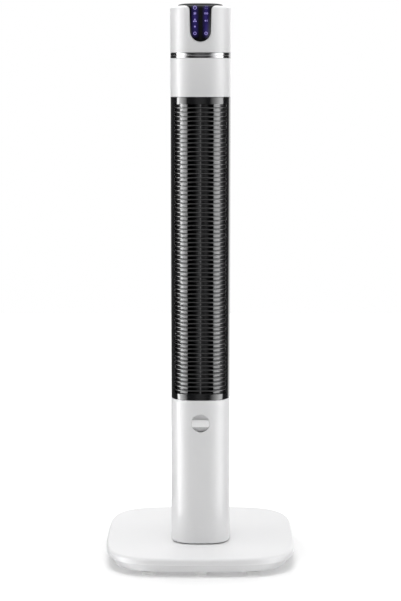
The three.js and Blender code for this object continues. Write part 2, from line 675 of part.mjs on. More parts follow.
/** Foot plate that closes the column: bearing hub, motor pillars and rear screw blocks. */
function columnFoot() {
  const plate = prism(columnOutline(INSERT_HALF), COLUMN_BOTTOM, FOOT_PLATE_TOP);
  const hub = bar(POST_RADIUS + HUB_WALL, COLUMN_BOTTOM, HUB_TOP);
  const pillars = earScrews.map(([x, y]) =>
    bar(EAR_RADIUS, COLUMN_BOTTOM, EAR_BOTTOM - SEAT_GAP, SMALL_STEPS).translate([x, y, 0]));
  const blocks = rearScrewBlocks(COLUMN_BOTTOM, LOWER_SCREW_HEIGHT + SCREW_BLOCK_MARGIN);
  const bore = bar(POST_RADIUS + RUNNING_GAP, 0, HUB_TOP + OVERRUN);
  const earHoles = earScrews.map(([x, y]) => shankHole(x, y, FOOT_PLATE_TOP, SWING_MOTOR_TOP));
  const rearHoles = rearScrewHoles(LOWER_SCREW_HEIGHT);
  return cut(join(plate, hub, ...pillars, ...blocks), bore, ...earHoles, ...rearHoles);
}

/** Swing motor: a round can with two ears and a bore for its output shaft. */
function swingMotor() {
  const can = bar(SWING_MOTOR_RADIUS, SWING_MOTOR_BOTTOM, SWING_MOTOR_TOP);
  const ears = block([-MOTOR_EAR, -EAR_RADIUS, EAR_BOTTOM], [MOTOR_EAR, EAR_RADIUS, SWING_MOTOR_TOP]);
  const tips = [-1, 1].map((side) =>
    bar(EAR_RADIUS, EAR_BOTTOM, SWING_MOTOR_TOP, SMALL_STEPS).translate([side * MOTOR_EAR, 0, 0]));
  const holes = [-1, 1].map((side) =>
    shankHole(side * MOTOR_EAR, 0, EAR_BOTTOM - OVERRUN, SWING_MOTOR_TOP + OVERRUN));
  const boreEnd = SWING_MOTOR_TOP - SWING_SHAFT_DEPTH - RUNNING_GAP;
  const shaftBore = bar(SWING_SHAFT_RADIUS + SEAT_GAP, boreEnd, SWING_MOTOR_TOP + OVERRUN, SMALL_STEPS);
  return cut(join(can, ears, ...tips), ...holes, shaftBore).translate([0, GEAR_CENTRES, 0]);
}

/** Pinion with a hub, on the swing motor's shaft. */
function drivePinion() {
  const firstTooth = -Math.PI / 2 + Math.PI / PINION_TEETH;
  const teeth = prism(gearOutline(PINION_TEETH, firstTooth), GEAR_SEAT, GEAR_TOP);
  const hub = bar(PINION_HUB_RADIUS, SWING_MOTOR_TOP + RUNNING_GAP, GEAR_TOP, SMALL_STEPS);
  const bore = bar(SWING_SHAFT_RADIUS + SEAT_GAP, 0, POST_TOP, SMALL_STEPS);
  return cut(join(teeth, hub), bore).translate([0, GEAR_CENTRES, 0]);
}

function buildSwingDrive() {
  addPiece(column, 'column_foot', columnFoot(), BLACK_SATIN);
  addPiece(column, 'swing_motor', swingMotor(), STEEL);
  const shaftLow = SWING_MOTOR_TOP - SWING_SHAFT_DEPTH;
  const shaft = bar(SWING_SHAFT_RADIUS, shaftLow, GEAR_TOP + OVERRUN, SMALL_STEPS);
  addPiece(column, 'swing_shaft', shaft.translate([0, GEAR_CENTRES, 0]), STEEL);
  addPiece(column, 'drive_pinion', drivePinion(), NYLON);
  earScrews.forEach(([x, y], i) => {
    const turnedOver = screw(EAR_SCREW_LENGTH).rotate([180, 0, 0])
      .translate([x, y, SWING_MOTOR_TOP + SEAT_GAP]);
    addPiece(column, `swing_motor_screw_${i + 1}`, turnedOver, STEEL);
  });
}

// ---------- column shells ----------

/** One arc of a shell, on the front or rear side of the seam, from an outline that surrounds it. */
function shellArc(outline, half, front) {
  const seam = SEAM + (front ? -SEAT_GAP / 2 : SEAT_GAP / 2);
  const side = -frontFace(half, seam);
  const start = front ? -Math.PI : 0;
  const inRange = outline.filter((p) => (front ? p.y < seam - 1 : p.y > seam + 1));
  inRange.sort((a, b) => turnFrom(a, start) - turnFrom(b, start));
  const ends = [new THREE.Vector2(-side, seam), new THREE.Vector2(side, seam)];
  return front ? [ends[0], ...inRange, ends[1]] : [ends[1], ...inRange, ends[0]];
}

/** The angle of a point, counted up from just before a starting direction. */
function turnFrom(point, start) {
  const lead = Math.PI / 4;
  return (Math.atan2(point.y, point.x) - start + lead + 4 * Math.PI) % (2 * Math.PI);
}

/** The closed plan outline of a white shell's wall on one side of the seam. */
function wallOutline(front) {
  const outer = shellArc(columnOutline(COLUMN_HALF), COLUMN_HALF, front);
  const inner = shellArc(columnOutline(SHELL_INNER), SHELL_INNER, front);
  return [...outer, ...inner.reverse()];
}

/** Rear housing: the whole back of the column, with rows of upright intake slots. */
function rearHousing() {
  const shell = prism(wallOutline(false), COLUMN_BOTTOM, COLUMN_TOP);
  const rowPitch = (SLOT_TOP - SLOT_BOTTOM + INTAKE_BRIDGE) / INTAKE_ROWS;
  const slots = [];
  for (let row = 0; row < INTAKE_ROWS; row += 1) {
    const bottom = SLOT_BOTTOM + row * rowPitch;
    const top = bottom + rowPitch - INTAKE_BRIDGE;
    for (let i = 0; i < INTAKE_COLUMNS; i += 1) {
      const left = (i - INTAKE_COLUMNS / 2) * INTAKE_PITCH + INTAKE_RIB / 2;
      const right = left + INTAKE_PITCH - INTAKE_RIB;
      slots.push(block([left, SHELL_INNER / 2, bottom], [right, COLUMN_HALF + OVERRUN, top]));
    }
  }
  const holes = [...rearScrewHoles(LOWER_SCREW_HEIGHT), ...rearScrewHoles(UPPER_SCREW_HEIGHT)];
  return cut(shell, ...slots, ...holes);
}

/** White front cover of one height range. */
const frontCover = (bottom, top) => prism(wallOutline(true), bottom, top);

/** Turns a body along +Z to face the front, level with the scent box. */
const alongFront = (body) => body.rotate([90, 0, 0]).translate([0, 0, CAP_HEIGHT]);

/** Lower front cover with the round hole of the scent box. */
function lowerFrontCover() {
  const hole = alongFront(bar(CAP_RADIUS + SEAT_GAP, COLUMN_HALF / 2, COLUMN_HALF + OVERRUN, CAP_STEPS));
  return cut(frontCover(COLUMN_BOTTOM, GRILLE_BOTTOM - SEAT_GAP), hole);
}

/** Front grille: a curved wall cut into many thin slats that run right round to its sides. */
function frontGrille() {
  const outer = shellArc(columnOutline(COLUMN_HALF, GRILLE_STEPS, true), COLUMN_HALF, true);
  const inner = shellArc(grilleInnerOutline(GRILLE_INNER), GRILLE_INNER, true);
  const wall = prism([...outer, ...inner.reverse()], GRILLE_BOTTOM, GRILLE_TOP);
  const slotHeight = SLOT_PITCH - SLAT_HEIGHT;
  const slotBack = frontFace(GRILLE_INNER, SLOT_REACH) + GRILLE_WALL / 2;
  const count = Math.floor((SLOT_TOP - SLOT_BOTTOM + SLAT_HEIGHT) / SLOT_PITCH);
  const slots = [];
  for (let i = 0; i < count; i += 1) {
    const bottom = SLOT_BOTTOM + i * SLOT_PITCH;
    const top = bottom + slotHeight;
    slots.push(block([-SLOT_REACH, -COLUMN_HALF - OVERRUN, bottom], [SLOT_REACH, slotBack, top]));
  }
  return cut(wall, ...slots);
}

/** Vane frame: a panel behind the slats with two tall windows and three upright vanes. */
function vaneFrame() {
  const bottom = MOTOR_PLATE_TOP + SEAT_GAP;
  const top = BEARING_PLATE_BOTTOM - SEAT_GAP;
  const outer = grilleInnerOutline(FRAME_HALF);
  const inner = grilleInnerOutline(FRAME_HALF - FRAME_WALL);
  const back = -FRAME_HALF / 2;
  const ring = prism(outer, bottom, top, [inner]);
  const panel = ring.intersect(block([-COLUMN_HALF, -COLUMN_HALF, 0], [COLUMN_HALF, back, COLUMN_TOP]));
  const innerFront = inner.filter((p) => Math.abs(p.x) < -p.y);
  const panelBack = Math.max(...innerFront.map((p) => p.y));
  const windows = [-1, 1].map((side) => {
    const edges = [side * (VANE_WIDTH / 2), side * WINDOW_EDGE].sort((a, b) => a - b);
    return block([edges[0], -COLUMN_HALF, SLOT_BOTTOM], [edges[1], 0, SLOT_TOP]);
  });
  const vanes = [-WINDOW_EDGE - VANE_WIDTH, -VANE_WIDTH / 2, WINDOW_EDGE].map((left) =>
    block([left, panelBack - FRAME_WALL / 2, bottom], [left + VANE_WIDTH, panelBack + VANE_DEPTH, top]));
  return join(cut(panel, ...windows), ...vanes);
}

function buildShells() {
  addPiece(column, 'rear_housing', rearHousing(), WHITE_GLOSS);
  addPiece(column, 'lower_front_cover', lowerFrontCover(), WHITE_GLOSS);
  addPiece(column, 'front_grille', frontGrille(), BLACK_GLOSS);
  addPiece(column, 'vane_frame', vaneFrame(), BLACK_GLOSS);
  addPiece(column, 'upper_front_cover', frontCover(GRILLE_TOP + SEAT_GAP, COLUMN_TOP), WHITE_GLOSS);
  const ringHole = columnOutline(COLUMN_HALF - RING_WALL);
  const ring = prism(columnOutline(COLUMN_HALF), RING_BOTTOM, RING_TOP, [ringHole]);
  addPiece(column, 'chrome_ring', ring, CHROME);
  const rearFace = -frontFace(COLUMN_HALF, REAR_SCREW_SPREAD);
  let count = 0;
  for (const height of [LOWER_SCREW_HEIGHT, UPPER_SCREW_HEIGHT]) {
    for (const side of [-1, 1]) {
      count += 1;
      const placed = screw(REAR_SCREW_LENGTH).rotate([90, 0, 0])
        .translate([side * REAR_SCREW_SPREAD, rearFace + SEAT_GAP + REAR_SCREW_PROUD, height]);
      addPiece(column, `rear_screw_${count}`, placed, STEEL);
    }
  }
}

// ---------- fan ----------

const SHAFT_END = WHEEL_BOTTOM + WHEEL_HUB_HEIGHT - HUB_END_WALL - RUNNING_GAP;
const PIN_START = WHEEL_TOP - WHEEL_HUB_HEIGHT + HUB_END_WALL + RUNNING_GAP;

/** One blade of the wheel: a thin crescent in plan, standing the wheel's full height. */
function wheelBlade(angle) {
  const inner = WHEEL_RADIUS - WHEEL_RING_WIDTH + BLADE_SINK;
  const outer = WHEEL_RADIUS - BLADE_SINK;
  const middle = (inner + outer) / 2;
  const outline = [
    new THREE.Vector2(inner, 0), new THREE.Vector2(middle, -BLADE_BULGE),
    new THREE.Vector2(outer, -BLADE_THICK / 2), new THREE.Vector2(outer, BLADE_THICK / 2),
    new THREE.Vector2(middle, BLADE_THICK - BLADE_BULGE),
  ];
  const turn = outline.map((point) => point.rotateAround(new THREE.Vector2(), angle));
  return prism(turn, WHEEL_BOTTOM + WHEEL_RING_THICK / 2, WHEEL_TOP - WHEEL_RING_THICK / 2);
}

/** Cross-flow wheel: a long drum of blades joined by rings, with a hub at each end. */
function crossFlowWheel() {
  const blades = [];
  for (let i = 0; i < BLADE_COUNT; i += 1) blades.push(wheelBlade((i / BLADE_COUNT) * 2 * Math.PI));
  const rings = [];
  const span = (WHEEL_TOP - WHEEL_BOTTOM - WHEEL_RING_THICK) / WHEEL_SPANS;
  for (let i = 1; i < WHEEL_SPANS; i += 1) {
    const bottom = WHEEL_BOTTOM + i * span;
    const inner = WHEEL_RADIUS - WHEEL_RING_WIDTH;
    rings.push(tubeOf(WHEEL_RADIUS, inner, bottom, bottom + WHEEL_RING_THICK, BLADE_COUNT));
  }
  const lowerEnd = turned([
    [0, WHEEL_BOTTOM],
    [WHEEL_RADIUS, WHEEL_BOTTOM],
    [WHEEL_RADIUS, WHEEL_BOTTOM + WHEEL_RING_THICK],
    [WHEEL_HUB_RADIUS, WHEEL_BOTTOM + WHEEL_RING_THICK],
    [WHEEL_HUB_RADIUS, WHEEL_BOTTOM + WHEEL_HUB_HEIGHT],
    [0, WHEEL_BOTTOM + WHEEL_HUB_HEIGHT],
  ], BLADE_COUNT);
  const upperEnd = turned([
    [0, WHEEL_TOP - WHEEL_HUB_HEIGHT],
    [WHEEL_HUB_RADIUS, WHEEL_TOP - WHEEL_HUB_HEIGHT],
    [WHEEL_HUB_RADIUS, WHEEL_TOP - WHEEL_RING_THICK],
    [WHEEL_RADIUS, WHEEL_TOP - WHEEL_RING_THICK],
    [WHEEL_RADIUS, WHEEL_TOP],
    [0, WHEEL_TOP],
  ], BLADE_COUNT);
  const shaftBore = bar(SHAFT_RADIUS + SEAT_GAP, 0, SHAFT_END + RUNNING_GAP, SMALL_STEPS);
  const pinBore = bar(PIN_RADIUS + SEAT_GAP, PIN_START - RUNNING_GAP, WHEEL_TOP + OVERRUN, SMALL_STEPS);
  return cut(join(lowerEnd, upperEnd, ...rings, ...blades), shaftBore, pinBore);
}

/** The y at which a duct wall's front end meets the back of the vane frame's slanted side panel. */
function ductMouth(outerFace) {
  const panel = grilleInnerOutline(FRAME_HALF - FRAME_WALL);
  const reach = Math.max(...panel.map((point) => Math.abs(point.x) + Math.abs(point.y)));
  return outerFace - reach + 2 * SEAT_GAP;
}

/** Plan path of the scroll, from its mouth at the grille round the wheel's right and back. */
function scrollPath() {
  const mouth = new THREE.Vector2(DUCT_HALF, ductMouth(DUCT_HALF + DUCT_WALL));
  const path = [mouth];
  for (let i = 0; i <= SCROLL_STEPS; i += 1) {
    const share = i / SCROLL_STEPS;
    const radius = WHEEL_RADIUS + SCROLL_GAP + SCROLL_GROWTH * (1 - share);
    const spot = polar(radius, degrees(SCROLL_START + (SCROLL_END - SCROLL_START) * share));
    path.push(spot.add(new THREE.Vector2(0, WHEEL_BACK)));
  }
  return path;
}

/** Plan path of the cut-off, which parts the outlet from the intake on the wheel's left. */
function cutoffPath() {
  const lip = WHEEL_RADIUS + SCROLL_GAP;
  const nose = polar(lip, degrees(CUTOFF_ANGLE)).add(new THREE.Vector2(-DUCT_WALL, WHEEL_BACK));
  return [
    new THREE.Vector2(-SHELL_INNER + CUTOFF_ROOT, SEAM - CUTOFF_ROOT),
    new THREE.Vector2(nose.x - 2.5 * DUCT_WALL, nose.y + 3 * DUCT_WALL),
    nose,
    new THREE.Vector2(-DUCT_HALF - DUCT_WALL, nose.y - CUTOFF_LEG),
    new THREE.Vector2(-DUCT_HALF, ductMouth(DUCT_HALF + DUCT_WALL)),
  ];
}

/** Inner plate across the column, outlined to fit inside the shells. */
function crossPlate(bottom, ...holes) {
  return cut(prism(columnOutline(INSERT_HALF), bottom, bottom + PLATE_THICK), ...holes);
}

const onWheelAxis = (body) => body.translate([0, WHEEL_BACK, 0]);
const fanMotorScrews = [[-FAN_MOTOR_SCREW, WHEEL_BACK], [FAN_MOTOR_SCREW, WHEEL_BACK]];

/** Fan motor: a rounded can under the lower plate, with a boss, a flange and a shaft bore. */
function fanMotor() {
  const low = FAN_MOTOR_TOP - FAN_MOTOR_HEIGHT;
  const can = turned([
    [0, low],
    [FAN_MOTOR_RADIUS - FAN_MOTOR_ROUND, low],
    [FAN_MOTOR_RADIUS, low + FAN_MOTOR_ROUND],
    [FAN_MOTOR_RADIUS, FAN_MOTOR_TOP],
    [MOTOR_BOSS_RADIUS, FAN_MOTOR_TOP],
    [MOTOR_BOSS_RADIUS, MOTOR_PLATE_TOP],
    [0, MOTOR_PLATE_TOP],
  ]);
  const boreEnd = FAN_MOTOR_TOP - SHAFT_DEPTH - RUNNING_GAP;
  const shaftBore = bar(SHAFT_RADIUS + SEAT_GAP, boreEnd, MOTOR_PLATE_TOP + OVERRUN, SMALL_STEPS);
  const holes = [-1, 1].map((side) =>
    shankHole(side * FAN_MOTOR_SCREW, 0, FAN_MOTOR_TOP - FAN_SCREW_LENGTH, FAN_MOTOR_TOP + OVERRUN));
  return onWheelAxis(cut(can, shaftBore, ...holes));
}

function buildFan() {
  addPiece(column, 'cross_flow_wheel', onWheelAxis(crossFlowWheel()), BLACK_SATIN);
  const shaft = bar(SHAFT_RADIUS, FAN_MOTOR_TOP - SHAFT_DEPTH, SHAFT_END, SMALL_STEPS);
  addPiece(column, 'motor_shaft', onWheelAxis(shaft), STEEL);
  const pin = bar(PIN_RADIUS, PIN_START, BEARING_PLATE_BOTTOM + PLATE_THICK + PIN_END, SMALL_STEPS);
  addPiece(column, 'wheel_pin', onWheelAxis(pin), STEEL);
  const bossHole = onWheelAxis(bar(MOTOR_BOSS_RADIUS + SEAT_GAP, 0, GRILLE_TOP));
  const screwHoles = fanMotorScrews.map(([x, y]) => shankHole(x, y, 0, GRILLE_TOP));
  const motorPlate = crossPlate(MOTOR_PLATE_TOP - PLATE_THICK, bossHole, ...screwHoles);
  addPiece(column, 'motor_plate', motorPlate, BLACK_SATIN);
  addPiece(column, 'fan_motor', fanMotor(), STEEL);
  fanMotorScrews.forEach(([x, y], i) => {
    const placed = screw(FAN_SCREW_LENGTH).rotate([180, 0, 0]).translate([x, y, MOTOR_PLATE_TOP + SEAT_GAP]);
    addPiece(column, `fan_motor_screw_${i + 1}`, placed, STEEL);
  });
  const bushOuter = PIN_RADIUS + RUNNING_GAP + BUSH_WALL;
  const plateHole = onWheelAxis(bar(bushOuter + SEAT_GAP, 0, COLUMN_TOP));
  addPiece(column, 'bearing_plate', crossPlate(BEARING_PLATE_BOTTOM, plateHole), BLACK_SATIN);
  const bushFlange = BEARING_PLATE_BOTTOM + PLATE_THICK + SEAT_GAP;
  const bush = cut(join(
    bar(bushOuter, BEARING_PLATE_BOTTOM, bushFlange + BUSH_FLANGE_THICK),
    bar(bushOuter + BUSH_FLANGE, bushFlange, bushFlange + BUSH_FLANGE_THICK),
  ), bar(PIN_RADIUS + RUNNING_GAP, 0, COLUMN_TOP, SMALL_STEPS));
  addPiece(column, 'top_bush', onWheelAxis(bush), BRONZE);
  const low = MOTOR_PLATE_TOP + SEAT_GAP;
  const high = BEARING_PLATE_BOTTOM - SEAT_GAP;
  const scroll = prism(strip(scrollPath(), -DUCT_WALL), low, high);
  addPiece(column, 'scroll_plate', scroll, BLACK_SATIN);
  const cutoff = prism(strip(cutoffPath(), -DUCT_WALL), low, high);
  addPiece(column, 'cutoff_bar', cutoff, BLACK_SATIN);
}

// ---------- scent box ----------

const POCKET_BORE = CAP_RADIUS + SEAT_GAP;
const POCKET_BACK = COLUMN_HALF - POCKET_DEPTH;

/** A bayonet lug pair on a round part along +Z, or the room for it, widened by a clearance. */
function bayonet(bottom, top, clearance, angle = 0) {
  const reach = CAP_RADIUS + LUG_REACH + clearance;
  const half = LUG_WIDTH / 2 + clearance;
  const across = block([-reach, -half, bottom - clearance], [reach, half, top + clearance]);
  return across.intersect(bar(reach, bottom - clearance, top + clearance, CAP_STEPS)).rotate([0, 0, angle]);
}

/** Pocket behind the front cover, grooved for the cap's lugs and notched where they enter. */
function scentPocket() {
  const outer = POCKET_BORE + POCKET_WALL;
  const bore = bar(POCKET_BORE, POCKET_BACK + POCKET_FLOOR, COLUMN_HALF + OVERRUN, CAP_STEPS);
  const grooveRadius = CAP_RADIUS + LUG_REACH + RUNNING_GAP;
  const grooveTop = CAP_SKIRT + LUG_THICK + RUNNING_GAP;
  const groove = bar(grooveRadius, CAP_SKIRT - RUNNING_GAP, grooveTop, CAP_STEPS);
  const entry = bayonet(CAP_SKIRT, COLUMN_HALF + OVERRUN, RUNNING_GAP, 90);
  const cup = cut(bar(outer, POCKET_BACK, COLUMN_HALF, CAP_STEPS), bore, groove, entry);
  const within = prism(columnOutline(SHELL_INNER - SEAT_GAP), 0, GRILLE_BOTTOM);
  return alongFront(cup).intersect(within);
}

/** Round cap with a sunken face, a finger bar across it and two bayonet lugs on its skirt. */
function scentCap() {
  const room = bar(CAP_RADIUS - CAP_WALL, CAP_SKIRT - OVERRUN, CAP_FACE - CAP_WALL, CAP_STEPS);
  const lugs = bayonet(CAP_SKIRT, CAP_SKIRT + LUG_THICK, 0);
  const dish = cut(join(bar(CAP_RADIUS, CAP_SKIRT, CAP_FACE, CAP_STEPS), lugs), room);
  const grip = block([-CAP_RADIUS, -BAR_HEIGHT / 2, CAP_FACE - CAP_WALL],
    [CAP_RADIUS, BAR_HEIGHT / 2, COLUMN_HALF + BAR_PROUD]);
  const within = bar(CAP_RADIUS, 0, COLUMN_HALF + BAR_PROUD + OVERRUN, CAP_STEPS);
  return alongFront(join(dish, grip.intersect(within)));
}

/** Open tray that holds the scented pad, inside the pocket. */
function scentTray() {
  const back = POCKET_BACK + POCKET_FLOOR + SEAT_GAP;
  const radius = CAP_RADIUS - TRAY_FIT;
  const top = CAP_SKIRT - SEAT_GAP;
  return alongFront(cut(bar(radius, back, top), bar(radius - TRAY_WALL, back + TRAY_WALL, top + OVERRUN)));
}

function buildScentBox() {
  addPiece(column, 'scent_pocket', scentPocket(), WHITE_SATIN);
  addPiece(column, 'scent_tray', scentTray(), WHITE_SATIN);
  addPiece(column, 'scent_cap', scentCap(), WHITE_GLOSS);
}

// ---------- head ----------

/** The head's outer form, moved outwards by an offset, from a given height up. */
function headForm(offset, bottom) {
  const top = HEAD_TOP + offset;
  const round = HEAD_ROUND;
  const profile = [[COLUMN_HALF + offset, bottom]];
  for (let i = 0; i <= EDGE_STEPS; i += 1) {
    const turn = (i / EDGE_STEPS) * (Math.PI / 2);
    profile.push([
      COLUMN_HALF + offset - round * (1 - Math.cos(turn)),
      top - round * (1 - Math.sin(turn)),
    ]);
  }
  return loft(profile.map(([half, height]) => atHeight(columnOutline(half), height)));
}

/** Prism along the front whose face has the black tongue's outline, made larger by a margin. */
function tonguePrism(margin) {
  const high = DOME_TOP + OVERRUN;
  const fillet = TONGUE_FILLET - margin;
  const filletX = TONGUE_HALF_TOP + TONGUE_FILLET;
  const filletZ = HEAD_TOP - TONGUE_FILLET;
  const bottomRadius = TONGUE_HALF_BOTTOM + margin;
  const bottomZ = TONGUE_BOTTOM + TONGUE_HALF_BOTTOM;
  const shape = new THREE.Shape();
  shape.moveTo(-filletX, high);
  shape.lineTo(-filletX, filletZ + fillet);
  shape.absarc(-filletX, filletZ, fillet, Math.PI / 2, 0, true);
  shape.absarc(0, bottomZ, bottomRadius, Math.PI, 2 * Math.PI, false);
  shape.absarc(filletX, filletZ, fillet, Math.PI, Math.PI / 2, true);
  shape.lineTo(filletX, high);
  const depth = COLUMN_HALF - DISC_HALF / 2;
  const curveSegments = SMALL_STEPS * 1.5;
  const geometry = new THREE.ExtrudeGeometry(shape, { depth, bevelEnabled: false, curveSegments });
  return solid(geometry.rotateX(Math.PI / 2).translate(0, -DISC_HALF / 2, 0));
}

/** The region of the head that the black lens fills: its tongue and its round-cornered top. */
function lensRegion(margin) {
  const disc = prism(columnOutline(DISC_HALF + margin), HEAD_TOP - 2 * DISC_SINK, DOME_TOP + OVERRUN);
  return join(tonguePrism(margin), disc);
}

/** Black lens: a shallow dome on top that runs down the front as a tongue. */
function touchLens() {
  const profile = [[DISC_HALF, HEAD_TOP - DISC_SINK]];
  const lastTurn = Math.PI / 2 * (1 - 1 / DOME_STEPS);
  for (let i = 0; i < DOME_STEPS; i += 1) {
    const turn = (i / (DOME_STEPS - 1)) * lastTurn;
    const rise = (Math.sin(turn) / Math.sin(lastTurn)) ** (2 / DOME_ROUNDNESS);
    profile.push([
      DISC_HALF * Math.cos(turn) ** (2 / DOME_ROUNDNESS),
      HEAD_TOP + DOME_LIP + (DOME_RISE - DOME_LIP) * rise,
    ]);
  }
  const dome = loft(profile.map(([half, height]) => atHeight(columnOutline(half), height)));
  const skin = join(headForm(LENS_PROUD, HEAD_BOTTOM), dome);
  return cut(skin, headForm(-LENS_THICK, HEAD_BOTTOM - OVERRUN)).intersect(lensRegion(0));
}

/** White head: a round-shouldered hood, open below and where the lens lies. */
function headShell() {
  const hood = cut(headForm(0, HEAD_BOTTOM), headForm(-COLUMN_WALL, HEAD_BOTTOM - OVERRUN));
  return cut(hood, lensRegion(SEAT_GAP));
}

/** Sleeve with a deck that carries the ring and the head on top of the column. */
function headCarrier() {
  const top = HEAD_BOTTOM + CARRIER_REACH;
  const outside = prism(columnOutline(INSERT_HALF), CARRIER_BOTTOM, top);
  const inside = prism(columnOutline(INSERT_HALF - CARRIER_WALL), CARRIER_DECK, top + OVERRUN);
  const blocks = rearScrewBlocks(CARRIER_BOTTOM, UPPER_SCREW_HEIGHT + SCREW_BLOCK_MARGIN);
  const cableHole = bar(CABLE_HOLE, 0, COLUMN_TOP, SMALL_STEPS);
  return cut(join(cut(outside, inside), ...blocks), cableHole, ...rearScrewHoles(UPPER_SCREW_HEIGHT));
}

const boardParts = [
  { x: -17, y: -13, width: 18, depth: 14, height: 12 },
  { x: 11, y: -12, width: 14, depth: 16, height: 15 },
  { x: -14, y: 10, width: 20, depth: 12, height: 8 },
];

/** Control board on four legs over the carrier's deck, with its transformer, relay and capacitors. */
function controlBoard() {
  const deck = CARRIER_DECK + SEAT_GAP;
  const bottom = deck + BOARD_STAND;
  const top = bottom + BOARD_THICK;
  const board = block([-BOARD_HALF_WIDTH, -BOARD_HALF_DEPTH, bottom],
    [BOARD_HALF_WIDTH, BOARD_HALF_DEPTH, top]);
  const legX = BOARD_HALF_WIDTH - BOARD_LEG;
  const legY = BOARD_HALF_DEPTH - BOARD_LEG;
  const legs = [[-1, -1], [1, -1], [-1, 1], [1, 1]].map(([sideX, sideY]) =>
    block([sideX * legX - BOARD_LEG / 2, sideY * legY - BOARD_LEG / 2, deck],
      [sideX * legX + BOARD_LEG / 2, sideY * legY + BOARD_LEG / 2, top]));
  const parts = boardParts.map(({ x, y, width, depth, height }) =>
    block([x - width / 2, y - depth / 2, bottom], [x + width / 2, y + depth / 2, top + height]));
  return join(board, ...legs, ...parts);
}

/** Display board that stands behind the lens's tongue, with its lamp driver. */
function displayBoard() {
  const front = frontFace(COLUMN_HALF - LENS_THICK, DISPLAY_HALF) + SEAT_GAP;
  const back = front + BOARD_THICK;
  const low = TONGUE_BOTTOM + DISPLAY_MARGIN;
  const board = block([-DISPLAY_HALF, front, low], [DISPLAY_HALF, back, low + DISPLAY_LENGTH]);
  const chipLow = low + CHIP_HALF;
  const chip = block([-CHIP_HALF, front, chipLow], [CHIP_HALF, back + CHIP_THICK, chipLow + 2 * CHIP_HALF]);
  return join(board, chip);
}

function buildHead() {
  addPiece(column, 'head_carrier', headCarrier(), BLACK_SATIN);
  addPiece(column, 'head_shell', headShell(), WHITE_GLOSS);
  addPiece(column, 'touch_lens', touchLens(), BLACK_GLOSS);
  addPiece(column, 'display_board', displayBoard(), BOARD_GREEN);
  addPiece(column, 'control_board', controlBoard(), BOARD_GREEN);
}

buildBase();
buildSwingDrive();
buildShells();
buildFan();
buildScentBox();
buildHead();

export default fan;
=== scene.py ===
"""The looks of a tower fan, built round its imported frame: smooth shells, slats, icons, finishes and studio."""

import logging
import math
from dataclasses import dataclass
from enum import Enum
from typing import Callable, Sequence

import bpy
from mathutils import Matrix, Vector


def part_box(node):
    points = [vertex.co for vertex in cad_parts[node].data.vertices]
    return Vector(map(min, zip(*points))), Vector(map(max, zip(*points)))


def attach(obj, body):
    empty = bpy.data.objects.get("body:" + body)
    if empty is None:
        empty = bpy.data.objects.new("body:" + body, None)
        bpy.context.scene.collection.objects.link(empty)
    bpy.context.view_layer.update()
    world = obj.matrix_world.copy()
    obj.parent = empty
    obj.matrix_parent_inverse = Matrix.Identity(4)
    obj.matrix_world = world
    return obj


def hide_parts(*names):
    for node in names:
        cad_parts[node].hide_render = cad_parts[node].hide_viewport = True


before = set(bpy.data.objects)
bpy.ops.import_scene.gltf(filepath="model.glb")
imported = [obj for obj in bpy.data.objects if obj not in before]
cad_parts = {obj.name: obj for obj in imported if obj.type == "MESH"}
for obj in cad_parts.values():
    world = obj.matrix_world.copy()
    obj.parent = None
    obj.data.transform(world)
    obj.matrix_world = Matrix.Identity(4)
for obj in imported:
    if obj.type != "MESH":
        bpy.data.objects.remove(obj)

LOG = logging.getLogger("tower_fan")
MM = 0.001
SMOOTH_ANGLE = math.radians(32)
NEAR = 0.1  # millimetres within which parts count as level with each other
PARALLEL = 0.99  # cosine from which two directions count as the same
X_AXIS = Vector((1.0, 0.0, 0.0))
Y_AXIS = Vector((0.0, 1.0, 0.0))
Z_AXIS = Vector((0.0, 0.0, 1.0))

Piece = bpy.types.Object
Tree = bpy.types.NodeTree
Socket = bpy.types.NodeSocket
Feed = Socket | float | tuple[float, ...]
Colour = tuple[float, float, float]
Profile = Sequence[tuple[float, float]]
Points = list[tuple[float, float]]


# ---------- modelling ----------


class Facing(Enum):
    """Direction in which a stack of rings grows."""

    UP = (0, 0, 1)
    FRONT = (0, -1, 0)
    BACK = (0, 1, 0)

    @property
    def direction(self) -> Vector:
        """The unit vector of the direction."""
        return Vector(self.value)


def deselect_all() -> None:
    """Goes back to object mode with nothing selected."""
    active = bpy.context.view_layer.objects.active
    if active is not None and active.mode != "OBJECT":
        bpy.ops.object.mode_set(mode="OBJECT")
    bpy.ops.object.select_all(action="DESELECT")


def activate(piece: Piece) -> None:
    """Makes one piece the only selected and the active one.

    Args:
        piece: The piece.
    """
    deselect_all()
    piece.select_set(True)
    bpy.context.view_layer.objects.active = piece


def edit_all(piece: Piece) -> None:
    """Opens a piece in edit mode with all of it selected.

    Args:
        piece: The piece.
    """
    activate(piece)
    bpy.ops.object.mode_set(mode="EDIT")
    bpy.ops.mesh.select_all(action="SELECT")


def leave_edit() -> None:
    """Closes edit mode."""
    bpy.ops.object.mode_set(mode="OBJECT")


def apply_place(piece: Piece) -> None:
    """Moves a piece's place, turn and scale into its mesh.

    Args:
        piece: The piece.
    """
    activate(piece)
    bpy.ops.object.transform_apply(location=True, rotation=True, scale=True)


def apply_modifier(piece: Piece, kind: str, **settings: object) -> None:
    """Adds a modifier to a piece and applies it.

    Args:
        piece: The piece that is shaped.
        kind: The modifier's type.
        **settings: Properties of the modifier.
    """
    activate(piece)
    modifier = piece.modifiers.new(kind.lower(), kind)
    for key, value in settings.items():
        setattr(modifier, key, value)
    bpy.ops.object.modifier_apply(modifier=modifier.name)


def repeat(piece: Piece, count: int, step: Vector) -> None:
    """Repeats a piece's mesh in a row.

    Args:
        piece: The piece that is repeated.
        count: Number in the row.
        step: From one to the next, in millimetres.
    """
    apply_modifier(
        piece, "ARRAY", count=count, use_relative_offset=False, use_constant_offset=True,
        constant_offset_displace=step * MM,
    )


